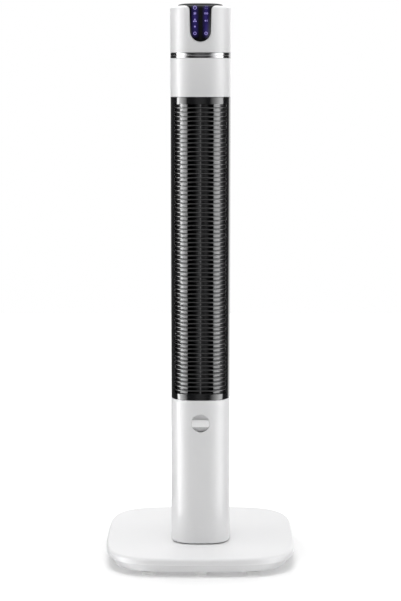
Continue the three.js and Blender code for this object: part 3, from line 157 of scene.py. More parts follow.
def combine(piece: Piece, tool: Piece, operation: str = "DIFFERENCE") -> None:
    """Cuts a piece with a tool, or joins or intersects them, and removes the tool.

    Args:
        piece: The piece that is kept.
        tool: The closed mesh that works on it.
        operation: DIFFERENCE, UNION or INTERSECT.
    """
    apply_modifier(piece, "BOOLEAN", operation=operation, solver="EXACT", object=tool)
    bpy.data.objects.remove(tool)


def join_pieces(name: str, pieces: Sequence[Piece]) -> Piece:
    """Joins finished meshes into one piece.

    Args:
        name: The name of the joined piece.
        pieces: The meshes, the first of which is kept.

    Returns:
        The joined piece.
    """
    activate(pieces[0])
    for piece in pieces[1:]:
        piece.select_set(True)
    if len(pieces) > 1:
        bpy.ops.object.join()
    pieces[0].name = name
    return pieces[0]


def copy_piece(piece: Piece, place: Matrix) -> Piece:
    """Copies a piece with a mesh of its own.

    Args:
        piece: The piece that is copied.
        place: How the copy's mesh is moved.

    Returns:
        The copy.
    """
    copy = piece.copy()
    copy.data = piece.data.copy()
    copy.data.transform(place)
    return link(copy)


def link(thing: Piece) -> Piece:
    """Puts a new object into the scene.

    Args:
        thing: The object.

    Returns:
        The same object.
    """
    bpy.context.scene.collection.objects.link(thing)
    return thing


def select_parts(piece: Piece, kind: str, wanted: Callable) -> None:
    """Opens a piece in edit mode with only some of its parts selected.

    Args:
        piece: The piece.
        kind: VERT, EDGE or FACE.
        wanted: Tells of each vertex, edge or face whether it is selected.
    """
    edit_all(piece)
    bpy.ops.mesh.select_mode(type=kind)
    bpy.ops.mesh.select_all(action="DESELECT")
    leave_edit()
    mesh = piece.data
    for part in {"VERT": mesh.vertices, "EDGE": mesh.edges, "FACE": mesh.polygons}[kind]:
        part.select = wanted(part)
    bpy.ops.object.mode_set(mode="EDIT")


def bisect(piece: Piece, point: Vector, normal: Vector) -> None:
    """Cuts a closed piece with a plane, drops what lies on the normal's side and fills the cut.

    Args:
        piece: The piece that is cut.
        point: A point of the plane, in metres.
        normal: The plane's normal.
    """
    edit_all(piece)
    bpy.ops.mesh.bisect(plane_co=point, plane_no=normal, use_fill=True, clear_outer=True)
    leave_edit()


def quarter_round(half: float, height: float, radius: float, steps: int, inwards: bool = True) -> Points:
    """Profile points of a quarter circle between an upright wall and a flat end above it.

    Args:
        half: The wall's half width.
        height: The height of the flat end.
        radius: The rounding's radius; a negative one rounds an end below the wall.
        steps: Number of chords.
        inwards: Whether the list runs from the wall to the end.

    Returns:
        Pairs of half width and height.
    """
    size = abs(radius)
    points = []
    for i in range(steps + 1):
        turn = i / steps * math.pi / 2
        points.append((half - size * (1 - math.cos(turn)), height - radius * (1 - math.sin(turn))))
    return points if inwards else points[::-1]


def wall_profile(inner: float, outer: float, bottom: float, top: float, radius: float, steps: int = 3) -> Points:
    """Profile of an upright wall whose outer edges are rounded.

    Args:
        inner: Half width inside.
        outer: Half width outside.
        bottom: Height of the lower end.
        top: Height of the upper end.
        radius: The roundings' radius.
        steps: Number of chords of each rounding.

    Returns:
        Pairs of half width and height, from the inner lower corner to the inner upper one.
    """
    lower = quarter_round(outer, bottom, -radius, steps, inwards=False)
    return [(inner, bottom), *lower, *quarter_round(outer, top, radius, steps), (inner, top)]


@dataclass
class RingStack:
    """A form that grows from one rounded-square outline, ring by ring.

    Sizes are in millimetres, and an exponent of 2 makes the outline a circle.
    """

    name: str
    centre: Vector
    exponent: float = 2.0
    steps: int = 192
    facing: Facing = Facing.UP

    def _outline(self, half: float, height: float) -> Piece:
        """Adds the first ring, a circle pulled out to its rounded square.

        Args:
            half: The ring's half width.
            height: Its distance from the centre along the facing.

        Returns:
            The ring as a mesh object.
        """
        place = (self.centre + self.facing.direction * height) * MM
        turn = (0.0, 0.0, 0.0) if self.facing is Facing.UP else (math.pi / 2, 0.0, 0.0)
        deselect_all()
        bpy.ops.mesh.primitive_circle_add(
            vertices=self.steps, radius=half * MM, fill_type="NOTHING", location=place, rotation=turn
        )
        ring = bpy.context.object
        ring.name = self.name
        apply_place(ring)
        for vertex in ring.data.vertices:
            reach = vertex.co - place
            longest = half * MM
            power = sum(abs(part / longest) ** self.exponent for part in reach) ** (1 / self.exponent)
            vertex.co = place + reach / power
        return ring

    def _extrude_to(self, profile: Profile) -> None:
        """Extrudes the open ring through the rest of a profile.

        Args:
            profile: Pairs of half width and height, of which the ring is the first.
        """
        along = self.facing.direction
        across = [1.0 if abs(part) < 0.5 else 0.0 for part in along]
        for (half, height), (next_half, next_height) in zip(profile, profile[1:]):
            step = along * (next_height - height) * MM
            bpy.ops.mesh.extrude_region_move(TRANSFORM_OT_translate={"value": step})
            if not math.isclose(next_half, half):
                share = next_half / half
                scale = [share if flat else 1.0 for flat in across]
                middle = (self.centre + along * next_height) * MM
                bpy.ops.transform.resize(value=scale, center_override=middle)

    def solid(self, profile: Profile) -> Piece:
        """Grows a closed body with flat ends.

        Args:
            profile: Pairs of half width and height, from one end to the other.

        Returns:
            The body, with its place in its mesh.
        """
        return self._grow(profile, tube=False)

    def tube(self, profile: Profile) -> Piece:
        """Grows a closed band: the last ring of its profile is joined to the first.

        Args:
            profile: Pairs of half width and height, once round the wall's section.

        Returns:
            The band, with its place in its mesh.
        """
        return self._grow(profile, tube=True)

    def _grow(self, profile: Profile, tube: bool) -> Piece:
        """Extrudes a profile and closes it.

        Args:
            profile: Pairs of half width and height.
            tube: Whether a bridge closes it, instead of two end faces.

        Returns:
            The closed body.
        """
        body = self._outline(*profile[0])
        edit_all(body)
        bpy.ops.mesh.select_mode(type="EDGE")
        bpy.ops.mesh.select_all(action="SELECT")
        self._extrude_to(profile)
        bpy.ops.mesh.select_all(action="DESELECT")
        bpy.ops.mesh.select_non_manifold()
        if tube:
            bpy.ops.mesh.bridge_edge_loops()
        else:
            bpy.ops.mesh.fill_holes(sides=0)
        bpy.ops.mesh.select_all(action="SELECT")
        bpy.ops.mesh.normals_make_consistent(inside=False)
        leave_edit()
        return body


def box_piece(name: str, low: Vector, high: Vector) -> Piece:
    """Adds a box between two corners.

    Args:
        name: The box's name.
        low: Its lowest corner, in millimetres.
        high: Its highest corner, in millimetres.

    Returns:
        The box, with its place in its mesh.
    """
    deselect_all()
    bpy.ops.mesh.primitive_cube_add(size=1, location=(low + high) / 2 * MM)
    piece = bpy.context.object
    piece.name = name
    piece.scale = (high - low) * MM
    apply_place(piece)
    return piece


def bevel_edges(
    piece: Piece, along: Vector, width: float, segments: int, side: Vector | None = None
) -> None:
    """Rounds those edges of a piece that run along one direction.

    Args:
        piece: The piece that is shaped.
        along: Direction of the edges.
        width: The rounding's size in millimetres.
        segments: Number of chords.
        side: Only the edges farthest out in this direction are rounded, where it is given.
    """
    farthest = max(vertex.co.dot(side) for vertex in piece.data.vertices) if side else 0.0

    def wanted(edge: bpy.types.MeshEdge) -> bool:
        """Tells whether an edge is rounded."""
        start, end = (piece.data.vertices[i].co for i in edge.vertices)
        outermost = side is None or (start + end).dot(side) / 2 > farthest - NEAR * MM
        return outermost and abs((end - start).normalized().dot(along)) > PARALLEL

    select_parts(piece, "EDGE", wanted)
    bpy.ops.mesh.bevel(offset=width * MM, segments=segments, affect="EDGES")
    leave_edit()


# ---------- finishes ----------


def feed(tree: Tree, socket: Socket, value: Feed) -> None:
    """Links a socket to another one, or sets its constant.

    Args:
        tree: The node tree.
        socket: The socket that is fed.
        value: The other socket, or the constant.
    """
    if isinstance(value, Socket):
        tree.links.new(value, socket)
    else:
        socket.default_value = value


def maths(tree: Tree, operation: str, *values: Feed) -> Socket:
    """Adds a Math node.

    Args:
        tree: The node tree.
        operation: The node's operation.
        *values: Its inputs, in order.

    Returns:
        The result.
    """
    node = tree.nodes.new("ShaderNodeMath")
    node.operation = operation
    for socket, value in zip(node.inputs, values):
        feed(tree, socket, value)
    return node.outputs["Value"]


def mixed(tree: Tree, kind: str, factor: Feed, first: Feed, second: Feed) -> Socket:
    """Adds a Mix node.

    Args:
        tree: The node tree.
        kind: FLOAT or RGBA.
        factor: Share of the second value.
        first: The first value.
        second: The second value.

    Returns:
        The result.
    """
    node = tree.nodes.new("ShaderNodeMix")
    node.data_type = kind
    for name, value in (("Factor", factor), ("A", first), ("B", second)):
        feed(tree, node.inputs[name], value)
    return node.outputs["Result"]


def noise(tree: Tree, vector: Socket, cells: float, detail: float) -> Socket:
    """Adds a noise texture.

    Args:
        tree: The node tree.
        vector: The coordinates.
        cells: Cells per metre.
        detail: Octaves.

    Returns:
        The noise, about 0 to 1.
    """
    node = tree.nodes.new("ShaderNodeTexNoise")
    node.inputs["Scale"].default_value = cells
    node.inputs["Detail"].default_value = detail
    tree.links.new(vector, node.inputs["Vector"])
    return node.outputs["Fac"]


def ranged(tree: Tree, value: Socket, start: float, end: float, low: float = 0.0, high: float = 1.0) -> Socket:
    """Adds a Map Range node.

    Args:
        tree: The node tree.
        value: The value that is mapped.
        start: The value that becomes low.
        end: The value that becomes high.
        low: Result at the start.
        high: Result at the end.

    Returns:
        The result, kept between low and high.
    """
    node = tree.nodes.new("ShaderNodeMapRange")
    for name, number in (("From Min", start), ("From Max", end), ("To Min", low), ("To Max", high)):
        node.inputs[name].default_value = number
    tree.links.new(value, node.inputs["Value"])
    return node.outputs["Result"]


def bumped(tree: Tree, height: Socket, strength: float, depth: float) -> Socket:
    """Adds a Bump node.

    Args:
        tree: The node tree.
        height: The height.
        strength: The bump's strength.
        depth: Its distance in metres.

    Returns:
        The normal.
    """
    node = tree.nodes.new("ShaderNodeBump")
    node.inputs["Strength"].default_value = strength
    node.inputs["Distance"].default_value = depth
    tree.links.new(height, node.inputs["Height"])
    return node.outputs["Normal"]


class EffectGroups:
    """Shader node groups that several finishes share, each built once. Scales in cells per metre."""

    wave_cells: float = 60.0
    grain_cells: float = 2200.0
    patch_cells: float = 14.0
    patch_range: tuple[float, float] = (0.35, 0.75)
    speck_cells: float = 900.0
    speck_range: tuple[float, float] = (0.68, 0.80)
    scratch_cells: float = 120.0
    scratch_range: tuple[float, float] = (0.3, 0.7)
    scratch_stretch: float = 30.0

    def __init__(self) -> None:
        """Starts with no group built."""
        self._built: dict[str, Tree] = {}

    def _get(self, name: str, inputs: dict[str, float], fill: Callable) -> Tree:
        """Gives a group, and builds it the first time.

        Args:
            name: The group's name.
            inputs: Number inputs with their defaults.
            fill: Function that adds the nodes and gives the outputs by name.

        Returns:
            The node group.
        """
        if name not in self._built:
            tree = bpy.data.node_groups.new(name, "ShaderNodeTree")
            tree.interface.new_socket("Vector", in_out="INPUT", socket_type="NodeSocketVector")
            for key, default in inputs.items():
                socket = tree.interface.new_socket(key, in_out="INPUT", socket_type="NodeSocketFloat")
                socket.default_value = default
            results = fill(tree, tree.nodes.new("NodeGroupInput").outputs)
            for key in results:
                tree.interface.new_socket(key, in_out="OUTPUT", socket_type="NodeSocketFloat")
            end = tree.nodes.new("NodeGroupOutput")
            for key, result in results.items():
                tree.links.new(result, end.inputs[key])
            self._built[name] = tree
        return self._built[name]

    def moulded_grain(self) -> Tree:
        """Faint waviness and fine grain of moulded plastic, as a height."""

        def fill(tree: Tree, given: bpy.types.NodeOutputs) -> dict[str, Socket]:
            """Adds the effect's nodes and gives its outputs."""
            wave = noise(tree, given["Vector"], self.wave_cells, 2.0)
            grain = noise(tree, given["Vector"], self.grain_cells, 3.0)
            return {"Height": mixed(tree, "FLOAT", given["Grain"], wave, grain)}

        return self._get("moulded_grain", {"Grain": 0.3}, fill)

    def handling(self) -> Tree:
        """Soft patches of wiping and dust, as a mask and a roughness."""

        def fill(tree: Tree, given: bpy.types.NodeOutputs) -> dict[str, Socket]:
            """Adds the effect's nodes and gives its outputs."""
            wiped = ranged(tree, noise(tree, given["Vector"], self.patch_cells, 4.0), *self.patch_range)
            specks = ranged(tree, noise(tree, given["Vector"], self.speck_cells, 2.0), *self.speck_range)
            rough = maths(tree, "MULTIPLY_ADD", wiped, given["Spread"], given["Roughness"])
            return {"Dust": maths(tree, "MULTIPLY", specks, wiped), "Roughness": rough}

        return self._get("handling", {"Roughness": 0.2, "Spread": 0.05}, fill)

    def brushing(self) -> Tree:
        """Long fine scratches along one axis, as a height and a roughness."""

        def fill(tree: Tree, given: bpy.types.NodeOutputs) -> dict[str, Socket]:
            """Adds the effect's nodes and gives its outputs."""
            stretch = tree.nodes.new("ShaderNodeMapping")
            stretch.inputs["Scale"].default_value = (1.0, 1.0, self.scratch_stretch)
            tree.links.new(given["Vector"], stretch.inputs["Vector"])
            lines = noise(tree, stretch.outputs["Vector"], self.scratch_cells, 3.0)
            uneven = ranged(tree, lines, *self.scratch_range)
            rough = maths(tree, "MULTIPLY_ADD", uneven, given["Spread"], given["Roughness"])
            return {"Height": lines, "Roughness": rough}

        return self._get("brushing", {"Roughness": 0.3, "Spread": 0.12}, fill)


EFFECTS = EffectGroups()


def effect(tree: Tree, group: Tree, vector: Socket, **values: float) -> bpy.types.NodeOutputs:
    """Puts a shared effect into a material.

    Args:
        tree: The material's node tree.
        group: The effect.
        vector: The coordinates.
        **values: The effect's own numbers.

    Returns:
        The effect's outputs.
    """
    node = tree.nodes.new("ShaderNodeGroup")
    node.node_tree = group
    tree.links.new(vector, node.inputs["Vector"])
    for key, value in values.items():
        node.inputs[key].default_value = value
    return node.outputs


@dataclass(frozen=True)
class Finish:
    """A finish of one piece: its colour and how its surface was made."""

    name: str
    colour: Colour
    roughness: float
    slot: str

    def material(self) -> bpy.types.Material:
        """The finish's material, built the first time it is asked for."""
        material = bpy.data.materials.get(self.name)
        if material is None:
            material = bpy.data.materials.new(self.name)
            material.use_nodes = True
            tree = material.node_tree
            vector = tree.nodes.new("ShaderNodeTexCoord").outputs["Object"]
            self._fill(tree, tree.nodes["Principled BSDF"].inputs, vector)
        return material

    def _fill(self, tree: Tree, shader: bpy.types.NodeInputs, vector: Socket) -> None:
        """Adds the finish's nodes.

        Args:
            tree: The material's node tree.
            shader: The shader's inputs.
            vector: The Object coordinates.
        """
        raise NotImplementedError


@dataclass(frozen=True)
class Plastic(Finish):
    """Moulded plastic: colour with faint dust, wiped patches, waviness and grain."""

    grain: float = 0.3
    bump: float = 0.05
    bump_depth: float = 0.0002
    spread: float = 0.05
    dust: Colour = (0.80, 0.79, 0.77)
    dust_amount: float = 0.12
    coat: float = 0.0
    coat_roughness: float = 0.04
    specular: float = 0.5

    def _fill(self, tree: Tree, shader: bpy.types.NodeInputs, vector: Socket) -> None:
        """Adds the plastic's nodes.

        Args:
            tree: The material's node tree.
            shader: The shader's inputs.
            vector: The Object coordinates.
        """
        wear = effect(tree, EFFECTS.handling(), vector, Roughness=self.roughness, Spread=self.spread)
        grain = effect(tree, EFFECTS.moulded_grain(), vector, Grain=self.grain)
        amount = maths(tree, "MULTIPLY", wear["Dust"], self.dust_amount)
        for name, value in {
            "Coat Weight": self.coat,
            "Coat Roughness": self.coat_roughness,
            "Specular IOR Level": self.specular,
            "Base Color": mixed(tree, "RGBA", amount, (*self.colour, 1.0), (*self.dust, 1.0)),
            "Roughness": wear["Roughness"],
            "Normal": bumped(tree, grain["Height"], self.bump, self.bump_depth),
        }.items():
            feed(tree, shader[name], value)


@dataclass(frozen=True)
class GlowingLens(Plastic):
    """Black gloss that lets a dim glow through round two columns of icons. Sizes in millimetres."""

    glow: Colour = (0.030, 0.020, 0.14)
    side: float = 9.7
    spread_out: float = 7.0
    low: float = 938.0
    low_fade: float = 8.0
    high: float = 996.0
    front: float = -60.0
    fade: float = 4.0
    patch_cells: float = 130.0
    patch_range: tuple[float, float] = (0.3, 0.7)
    patch_floor: float = 0.55

    def _fill(self, tree: Tree, shader: bpy.types.NodeInputs, vector: Socket) -> None:
        """Adds the lens's nodes: the gloss with an emission mask.

        Args:
            tree: The material's node tree.
            shader: The shader's inputs.
            vector: The Object coordinates.
        """
        super()._fill(tree, shader, vector)
        split = tree.nodes.new("ShaderNodeSeparateXYZ")
        tree.links.new(vector, split.inputs["Vector"])
        x, y, z = split.outputs
        away = maths(tree, "ABSOLUTE", maths(tree, "SUBTRACT", maths(tree, "ABSOLUTE", x), self.side * MM))
        patches = noise(tree, vector, self.patch_cells, 2.0)
        amount = ranged(tree, patches, *self.patch_range, self.patch_floor, 1.0)
        for value, dark, lit in (
            (away, self.spread_out, 0.0),
            (z, self.low, self.low + self.low_fade),
            (z, self.high, self.high - self.fade),
            (y, self.front, self.front - self.fade),
        ):
            amount = maths(tree, "MULTIPLY", amount, ranged(tree, value, dark * MM, lit * MM))
        glow = mixed(tree, "RGBA", amount, (0.0, 0.0, 0.0, 1.0), (*self.glow, 1.0))
        feed(tree, shader["Emission Color"], glow)
        shader["Emission Strength"].default_value = 1.0


@dataclass(frozen=True)
class Metal(Finish):
    """Metal: brushed or plated, with fine lines in its roughness and height."""

    spread: float = 0.1
    bump: float = 0.1
    bump_depth: float = 0.00005
    darker: float = 0.92

    def _fill(self, tree: Tree, shader: bpy.types.NodeInputs, vector: Socket) -> None:
        """Adds the metal's nodes.

        Args:
            tree: The material's node tree.
            shader: The shader's inputs.
            vector: The Object coordinates.
        """
        lines = effect(tree, EFFECTS.brushing(), vector, Roughness=self.roughness, Spread=self.spread)
        dark = tuple(part * self.darker for part in self.colour)
        tint = mixed(tree, "RGBA", lines["Height"], (*dark, 1.0), (*self.colour, 1.0))
        shader["Metallic"].default_value = 1.0
        feed(tree, shader["Base Color"], tint)
        feed(tree, shader["Roughness"], lines["Roughness"])
        feed(tree, shader["Normal"], bumped(tree, lines["Height"], self.bump, self.bump_depth))


@dataclass(frozen=True)
class Lamp(Finish):
    """A lit icon: a violet glow with a fine grain over a dark base."""

    base: Colour = (0.02, 0.02, 0.03)
    dimmer: float = 0.75
    cells: float = 700.0

    def _fill(self, tree: Tree, shader: bpy.types.NodeInputs, vector: Socket) -> None:
        """Adds the lamp's nodes.

        Args:
            tree: The material's node tree.
            shader: The shader's inputs.
            vector: The Object coordinates.
        """
        dim = tuple(part * self.dimmer for part in self.colour)
        light = mixed(tree, "RGBA", noise(tree, vector, self.cells, 1.0), (*dim, 1.0), (*self.colour, 1.0))
        shader["Base Color"].default_value = (*self.base, 1.0)
        shader["Roughness"].default_value = self.roughness
        shader["Emission Strength"].default_value = 1.0
        feed(tree, shader["Emission Color"], light)


WHITE_GLOSS = Plastic(
    "white gloss plastic", (0.84, 0.84, 0.845), 0.5, "white_gloss",
    coat=0.8, coat_roughness=0.36, dust_amount=0.02, spread=0.01, specular=0.25,
)
# The scent cap's white plastic made brighter for its finger bar: a painted highlight that stands in for the light
# falling on the bar.
PAINTED_LIGHT_WHITE = Plastic(
    "white plastic with painted highlight", (0.95, 0.95, 0.955), 0.45, "white_gloss", dust_amount=0.02, spread=0.01
)
WHITE_SATIN = Plastic(
    "white satin plastic", (0.74, 0.74, 0.745), 0.42, "white_satin", grain=0.7, bump=0.12, dust_amount=0.05
)
BLACK_GLOSS = Plastic("black gloss plastic", (0.006, 0.006, 0.007), 0.12, "black_gloss", coat=0.7, dust_amount=0.02)
BLACK_LENS = GlowingLens(
    "black lens", (0.004, 0.004, 0.005), 0.05, "black_gloss", dust_amount=0.01, bump=0.01, specular=0.25
)
BLACK_SATIN = Plastic(
    "black satin plastic", (0.012, 0.012, 0.013), 0.42, "black_satin", grain=0.8, bump=0.2, dust_amount=0.05
)
SMOKED_GREY = Plastic(
    "smoked grey gloss plastic", (0.27, 0.27, 0.275), 0.2, "black_gloss", coat=0.4, spread=0.02
)
WHEEL_BLACK = Plastic(
    "black wheel plastic", (0.008, 0.008, 0.009), 0.34, "black_satin", grain=0.5, bump=0.1, dust_amount=0.04
)
RUBBER = Plastic("pale rubber", (0.90, 0.90, 0.89), 0.7, "foot_rubber", grain=0.9, bump=0.3, specular=0.3)
NYLON = Plastic("natural nylon", (0.80, 0.77, 0.66), 0.45, "nylon", grain=0.6, bump=0.15)
BOARD = Plastic("green circuit board", (0.03, 0.16, 0.07), 0.4, "board", grain=0.8, bump=0.2)
CHROME = Metal("bright plating", (0.32, 0.32, 0.325), 0.16, "chrome", spread=0.03, bump=0.01)
STEEL = Metal("plain sheet steel", (0.56, 0.57, 0.58), 0.30, "steel")
SCREW_STEEL = Metal("plated screw steel", (0.50, 0.51, 0.52), 0.25, "screw_steel")
ZINC = Metal("blasted zinc casting", (0.42, 0.43, 0.44), 0.45, "zinc", bump=0.3)
BRONZE = Metal("sintered bronze", (0.60, 0.42, 0.20), 0.4, "bronze")
ICON_LIGHT = Lamp("violet icon light", (0.34, 0.28, 0.70), 0.3, "black_gloss")


def dress(piece: Piece, finish: Finish, body: str, stands_for: Sequence[str] = ()) -> Piece:
    """Finishes a new piece: smooth shading, its material, its body and the nodes that it stands for.

    Args:
        piece: The finished mesh.
        finish: Its finish.
        body: The frame's body that it moves with.
        stands_for: The frame's nodes that it replaces.

    Returns:
        The piece.
    """
    apply_place(piece)
    bpy.ops.object.shade_smooth_by_angle(angle=SMOOTH_ANGLE)
    piece.data.materials.clear()
    piece.data.materials.append(finish.material())
    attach(piece, body)
    if stands_for:
        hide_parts(*stands_for)
    LOG.info("%s: %d faces", piece.name, len(piece.data.polygons))
    return piece


# ---------- sub-assemblies ----------


@dataclass
class Base:
    """The base: cover, skirt, feet and cable gland. Sizes in millimetres."""

    exponent: float = 4.2
    steps: int = 256
    half: float = 172.0
    top: float = 33.0
    rim_bottom: float = 21.0
    rim_wall: float = 3.5
    rim_round: float = 5.0
    lower_round: float = 1.1
    roof: float = 3.0
    skirt_top: float = 164.5
    skirt_bottom: float = 160.0
    skirt_wall: float = 2.5
    skirt_edge: float = 1.0
    gap: float = 0.3
    floor: float = 5.0
    foot_round: float = 1.5
    foot_lower_round: float = 0.6
    swivel_hole: float = 15.0
    swivel_y: float = -32.0
    gland_height: float = 13.0
    gland_bore: float = 3.2
    gland_mouth: float = 3.9
    gland_radius: float = 6.0
    gland_flange: float = 7.6
    gland_start: float = 155.5
    gland_flange_start: float = 164.8
    gland_edge: float = 165.6
    gland_end: float = 167.4
    gland_round: float = 1.4

    def _stack(self, name: str) -> RingStack:
        """A named stack of rings with the base's outline."""
        return RingStack(name, Vector(), self.exponent, self.steps)

    def cover(self) -> Piece:
        """The white cover with its rounded rim and the swivel's hole."""
        inner = self.half - self.rim_wall
        profile = [(inner, self.top - self.roof), (inner, self.rim_bottom)]
        profile += quarter_round(self.half, self.rim_bottom, -self.lower_round, 4, inwards=False)
        profile += quarter_round(self.half, self.top, self.rim_round, 8)
        cover = self._stack("base_top_shell").solid(profile)
        hole = RingStack("hole", Vector((0.0, self.swivel_y, 0.0)), steps=96)
        combine(cover, hole.solid([(self.swivel_hole, self.rim_bottom), (self.swivel_hole, self.top + 1)]))
        return dress(cover, WHITE_GLOSS, "base", ["base_cover"])

    def skirt(self) -> Piece:
        """The recessed skirt with its floor."""
        inner = self.skirt_top - self.skirt_wall
        top = self.top - self.roof - self.gap
        profile = [
            (self.skirt_bottom - self.skirt_wall, self.floor + self.skirt_wall),
            (inner, self.rim_bottom),
            (inner, top),
            (self.skirt_top, top),
            (self.skirt_top, self.rim_bottom),
            (self.skirt_bottom + self.gap, self.floor + self.skirt_edge),
        ]
        profile += quarter_round(self.skirt_bottom, self.floor, -self.skirt_edge, 4)[1:]
        skirt = self._stack("base_skirt").solid(profile)
        return dress(skirt, WHITE_SATIN, "base", ["base_pan"])

    def feet(self) -> None:
        """Eight rubber feet, each rounded on its upright corners and its lower edge."""
        for name in sorted(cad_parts):
            if name.startswith("foot_"):
                low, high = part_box(name)
                foot = box_piece(f"rubber_{name}", low / MM, high / MM)
                bevel_edges(foot, Z_AXIS, self.foot_round, 4)
                select_parts(foot, "FACE", lambda face: face.normal.z < -PARALLEL)
                bpy.ops.mesh.bevel(offset=self.foot_lower_round * MM, segments=3, affect="EDGES")
                leave_edit()
                dress(foot, RUBBER, "base", [name])

    def gland(self) -> Piece:
        """The flanged gland of the mains lead in the back of the skirt."""
        centre = Vector((0.0, 0.0, self.gland_height))
        profile = [(self.gland_bore, self.gland_start), (self.gland_radius, self.gland_start)]
        profile += [(self.gland_radius, self.gland_flange_start), (self.gland_flange, self.gland_flange_start)]
        profile += [(self.gland_flange, self.gland_edge)]
        profile += quarter_round(self.gland_flange, self.gland_end, self.gland_round, 4)[1:]
        slope = self.gland_mouth - self.gland_bore
        profile += [(self.gland_mouth, self.gland_end), (self.gland_bore, self.gland_end - slope)]
        gland = RingStack("lead_gland", centre, steps=64, facing=Facing.BACK).tube(profile)
        return dress(gland, BLACK_SATIN, "base", ["cable_gland"])

    def build(self) -> None:
        """Builds the base's pieces."""
        self.cover()
        self.skirt()
        self.feet()
        self.gland()


@dataclass
class Column:
    """The column's shells, chrome ring and rear screws. Sizes in millimetres."""

    forward: float = 32.0
    half: float = 53.5
    exponent: float = 3.0
    wall: float = 2.4
    seam: float = 8.0
    gap: float = 0.3
    bottom: float = 35.0
    grille_bottom: float = 299.0
    grille_top: float = 837.0
    top: float = 904.0
    ring_top: float = 913.7
    ring_wall: float = 2.2
    edge: float = 0.7
    cap_height: float = 257.0
    cap_hole: float = 16.3
    hole_start: float = 20.0
    hole_rim: float = 0.2
    hole_edge: tuple[tuple[float, float], ...] = ((0.0, 1.0), (0.2, 0.3), (0.5, 0.0), (0.5, -3.0))
    slot_bottom: float = 309.5
    slot_top: float = 828.5
    intake_columns: int = 11
    intake_rows: int = 4
    intake_pitch: float = 6.8
    intake_rib: float = 3.0
    intake_bridge: float = 9.0
    intake_round: float = 0.48
    ring_crown: float = 0.12
    ring_round: float = 0.7
    ring_groove: float = 0.55
    ring_groove_depth: float = 0.35
    past: float = 2.0
    screw_radius: float = 3.2
    screw_shank: float = 1.6
    screw_dome: tuple[tuple[float, float], ...] = ((1.0, 2.0), (1.0, 1.2), (0.93, 0.7), (0.7, 0.25), (0.35, 0.0))
    recess_half: float = 1.8
    recess_line: float = 0.45
    recess_depth: float = 1.1

    @property
    def axis(self) -> Vector:
        """Foot point of the column's axis."""
        return Vector((0.0, -self.forward, 0.0))

    def front_face(self, half: float, x: float) -> float:
        """The y of a section's front face at one side position.

        Args:
            half: The section's half width.
            x: The side position.

        Returns:
            The y in millimetres.
        """
        return -self.forward - (half**self.exponent - abs(x) ** self.exponent) ** (1 / self.exponent)

    def stack(self, name: str, steps: int = 192) -> RingStack:
        """A named stack of rings with the column's outline."""
        return RingStack(name, self.axis, self.exponent, steps)

    def _shell(self, name: str, bottom: float, top: float, front: bool) -> Piece:
        """A shell on one side of the seam, with slightly rounded outer edges.

        Args:
            name: The shell's name.
            bottom: Its lower end.
            top: Its upper end.
            front: Whether it lies in front of the seam.

        Returns:
            The shell.
        """
        inner = self.half - self.wall
        shell = self.stack(name).tube(wall_profile(inner, self.half, bottom, top, self.edge))
        side = -1.0 if front else 1.0
        plane = (self.axis + Vector((0.0, self.seam + side * self.gap / 2, 0.0))) * MM
        bisect(shell, plane, Vector((0.0, -side, 0.0)))
        return shell

    def lower_cover(self) -> Piece:
        """The lower front cover with the scent box's round hole."""
        cover = self._shell("front_shell_lower", self.bottom, self.grille_bottom - self.gap, True)
        centre = self.axis + Vector((0.0, 0.0, self.cap_height))
        hole = RingStack("hole", centre, steps=96, facing=Facing.FRONT)
        rim = self.half - self.hole_rim
        profile = [(self.cap_hole, self.hole_start)]
        profile += [(self.cap_hole + wider, rim - depth) for wider, depth in self.hole_edge]
        combine(cover, hole.solid(profile))
        return dress(cover, WHITE_GLOSS, "column", ["lower_front_cover"])

    def upper_cover(self) -> Piece:
        """The upper front cover, between the grille and the ring."""
        cover = self._shell("front_shell_upper", self.grille_top + self.gap, self.top, True)
        return dress(cover, WHITE_GLOSS, "column", ["upper_front_cover"])

    def rear_housing(self) -> Piece:
        """The rear housing with its rows of upright intake slots."""
        housing = self._shell("rear_shell", self.bottom, self.top, False)
        pitch = (self.slot_top - self.slot_bottom + self.intake_bridge) / self.intake_rows
        width = self.intake_pitch - self.intake_rib
        left = -self.intake_pitch * (self.intake_columns - 1) / 2 - width / 2
        low = Vector((left, -self.forward + self.half / 2, self.slot_bottom))
        high = Vector((left + width, -self.forward + self.half + self.past, low.z + pitch - self.intake_bridge))
        cutter = box_piece("slots", low, high)
        bevel_edges(cutter, Y_AXIS, width * self.intake_round, 4)
        repeats = (((1, 0, 0), self.intake_columns, self.intake_pitch), ((0, 0, 1), self.intake_rows, pitch))
        for direction, count, step in repeats:
            repeat(cutter, count, Vector(direction) * step)
        combine(housing, cutter)
        return dress(housing, WHITE_GLOSS, "column", ["rear_housing"])

    def ring(self) -> Piece:
        """The chrome ring between column and head, slightly crowned and with a fine groove."""
        bottom = self.top + self.gap
        inner = self.half - self.ring_wall
        middle = (bottom + self.ring_top) / 2
        outer = self.half - self.ring_crown
        profile = [(inner, bottom)]
        profile += quarter_round(outer, bottom, -self.ring_round, 5, inwards=False)
        profile += [(self.half, middle - self.ring_groove), (self.half - self.ring_groove_depth, middle)]
        profile += [(self.half, middle + self.ring_groove)]
        profile += quarter_round(outer, self.ring_top, self.ring_round, 5)
        profile += [(inner, self.ring_top)]
        return dress(self.stack("plated_ring", 256).tube(profile), CHROME, "column", ["chrome_ring"])

    def screws(self) -> None:
        """Rear screws: domed heads with a cross recess, modelled once and copied."""
        first, origin = None, Vector()
        for name in sorted(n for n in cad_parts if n.startswith("rear_screw_")):
            low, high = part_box(name)
            middle = (low + high) / 2 / MM
            place = Vector((middle.x, 0.0, middle.z))
            if first is None:
                first, origin = self._screw(place, low.y / MM, high.y / MM), place
                screw = first
            else:
                screw = copy_piece(first, Matrix.Translation((place - origin) * MM))
            screw.name = f"housing_{name}"
            screw.parent = None
            dress(screw, SCREW_STEEL, "column", [name])

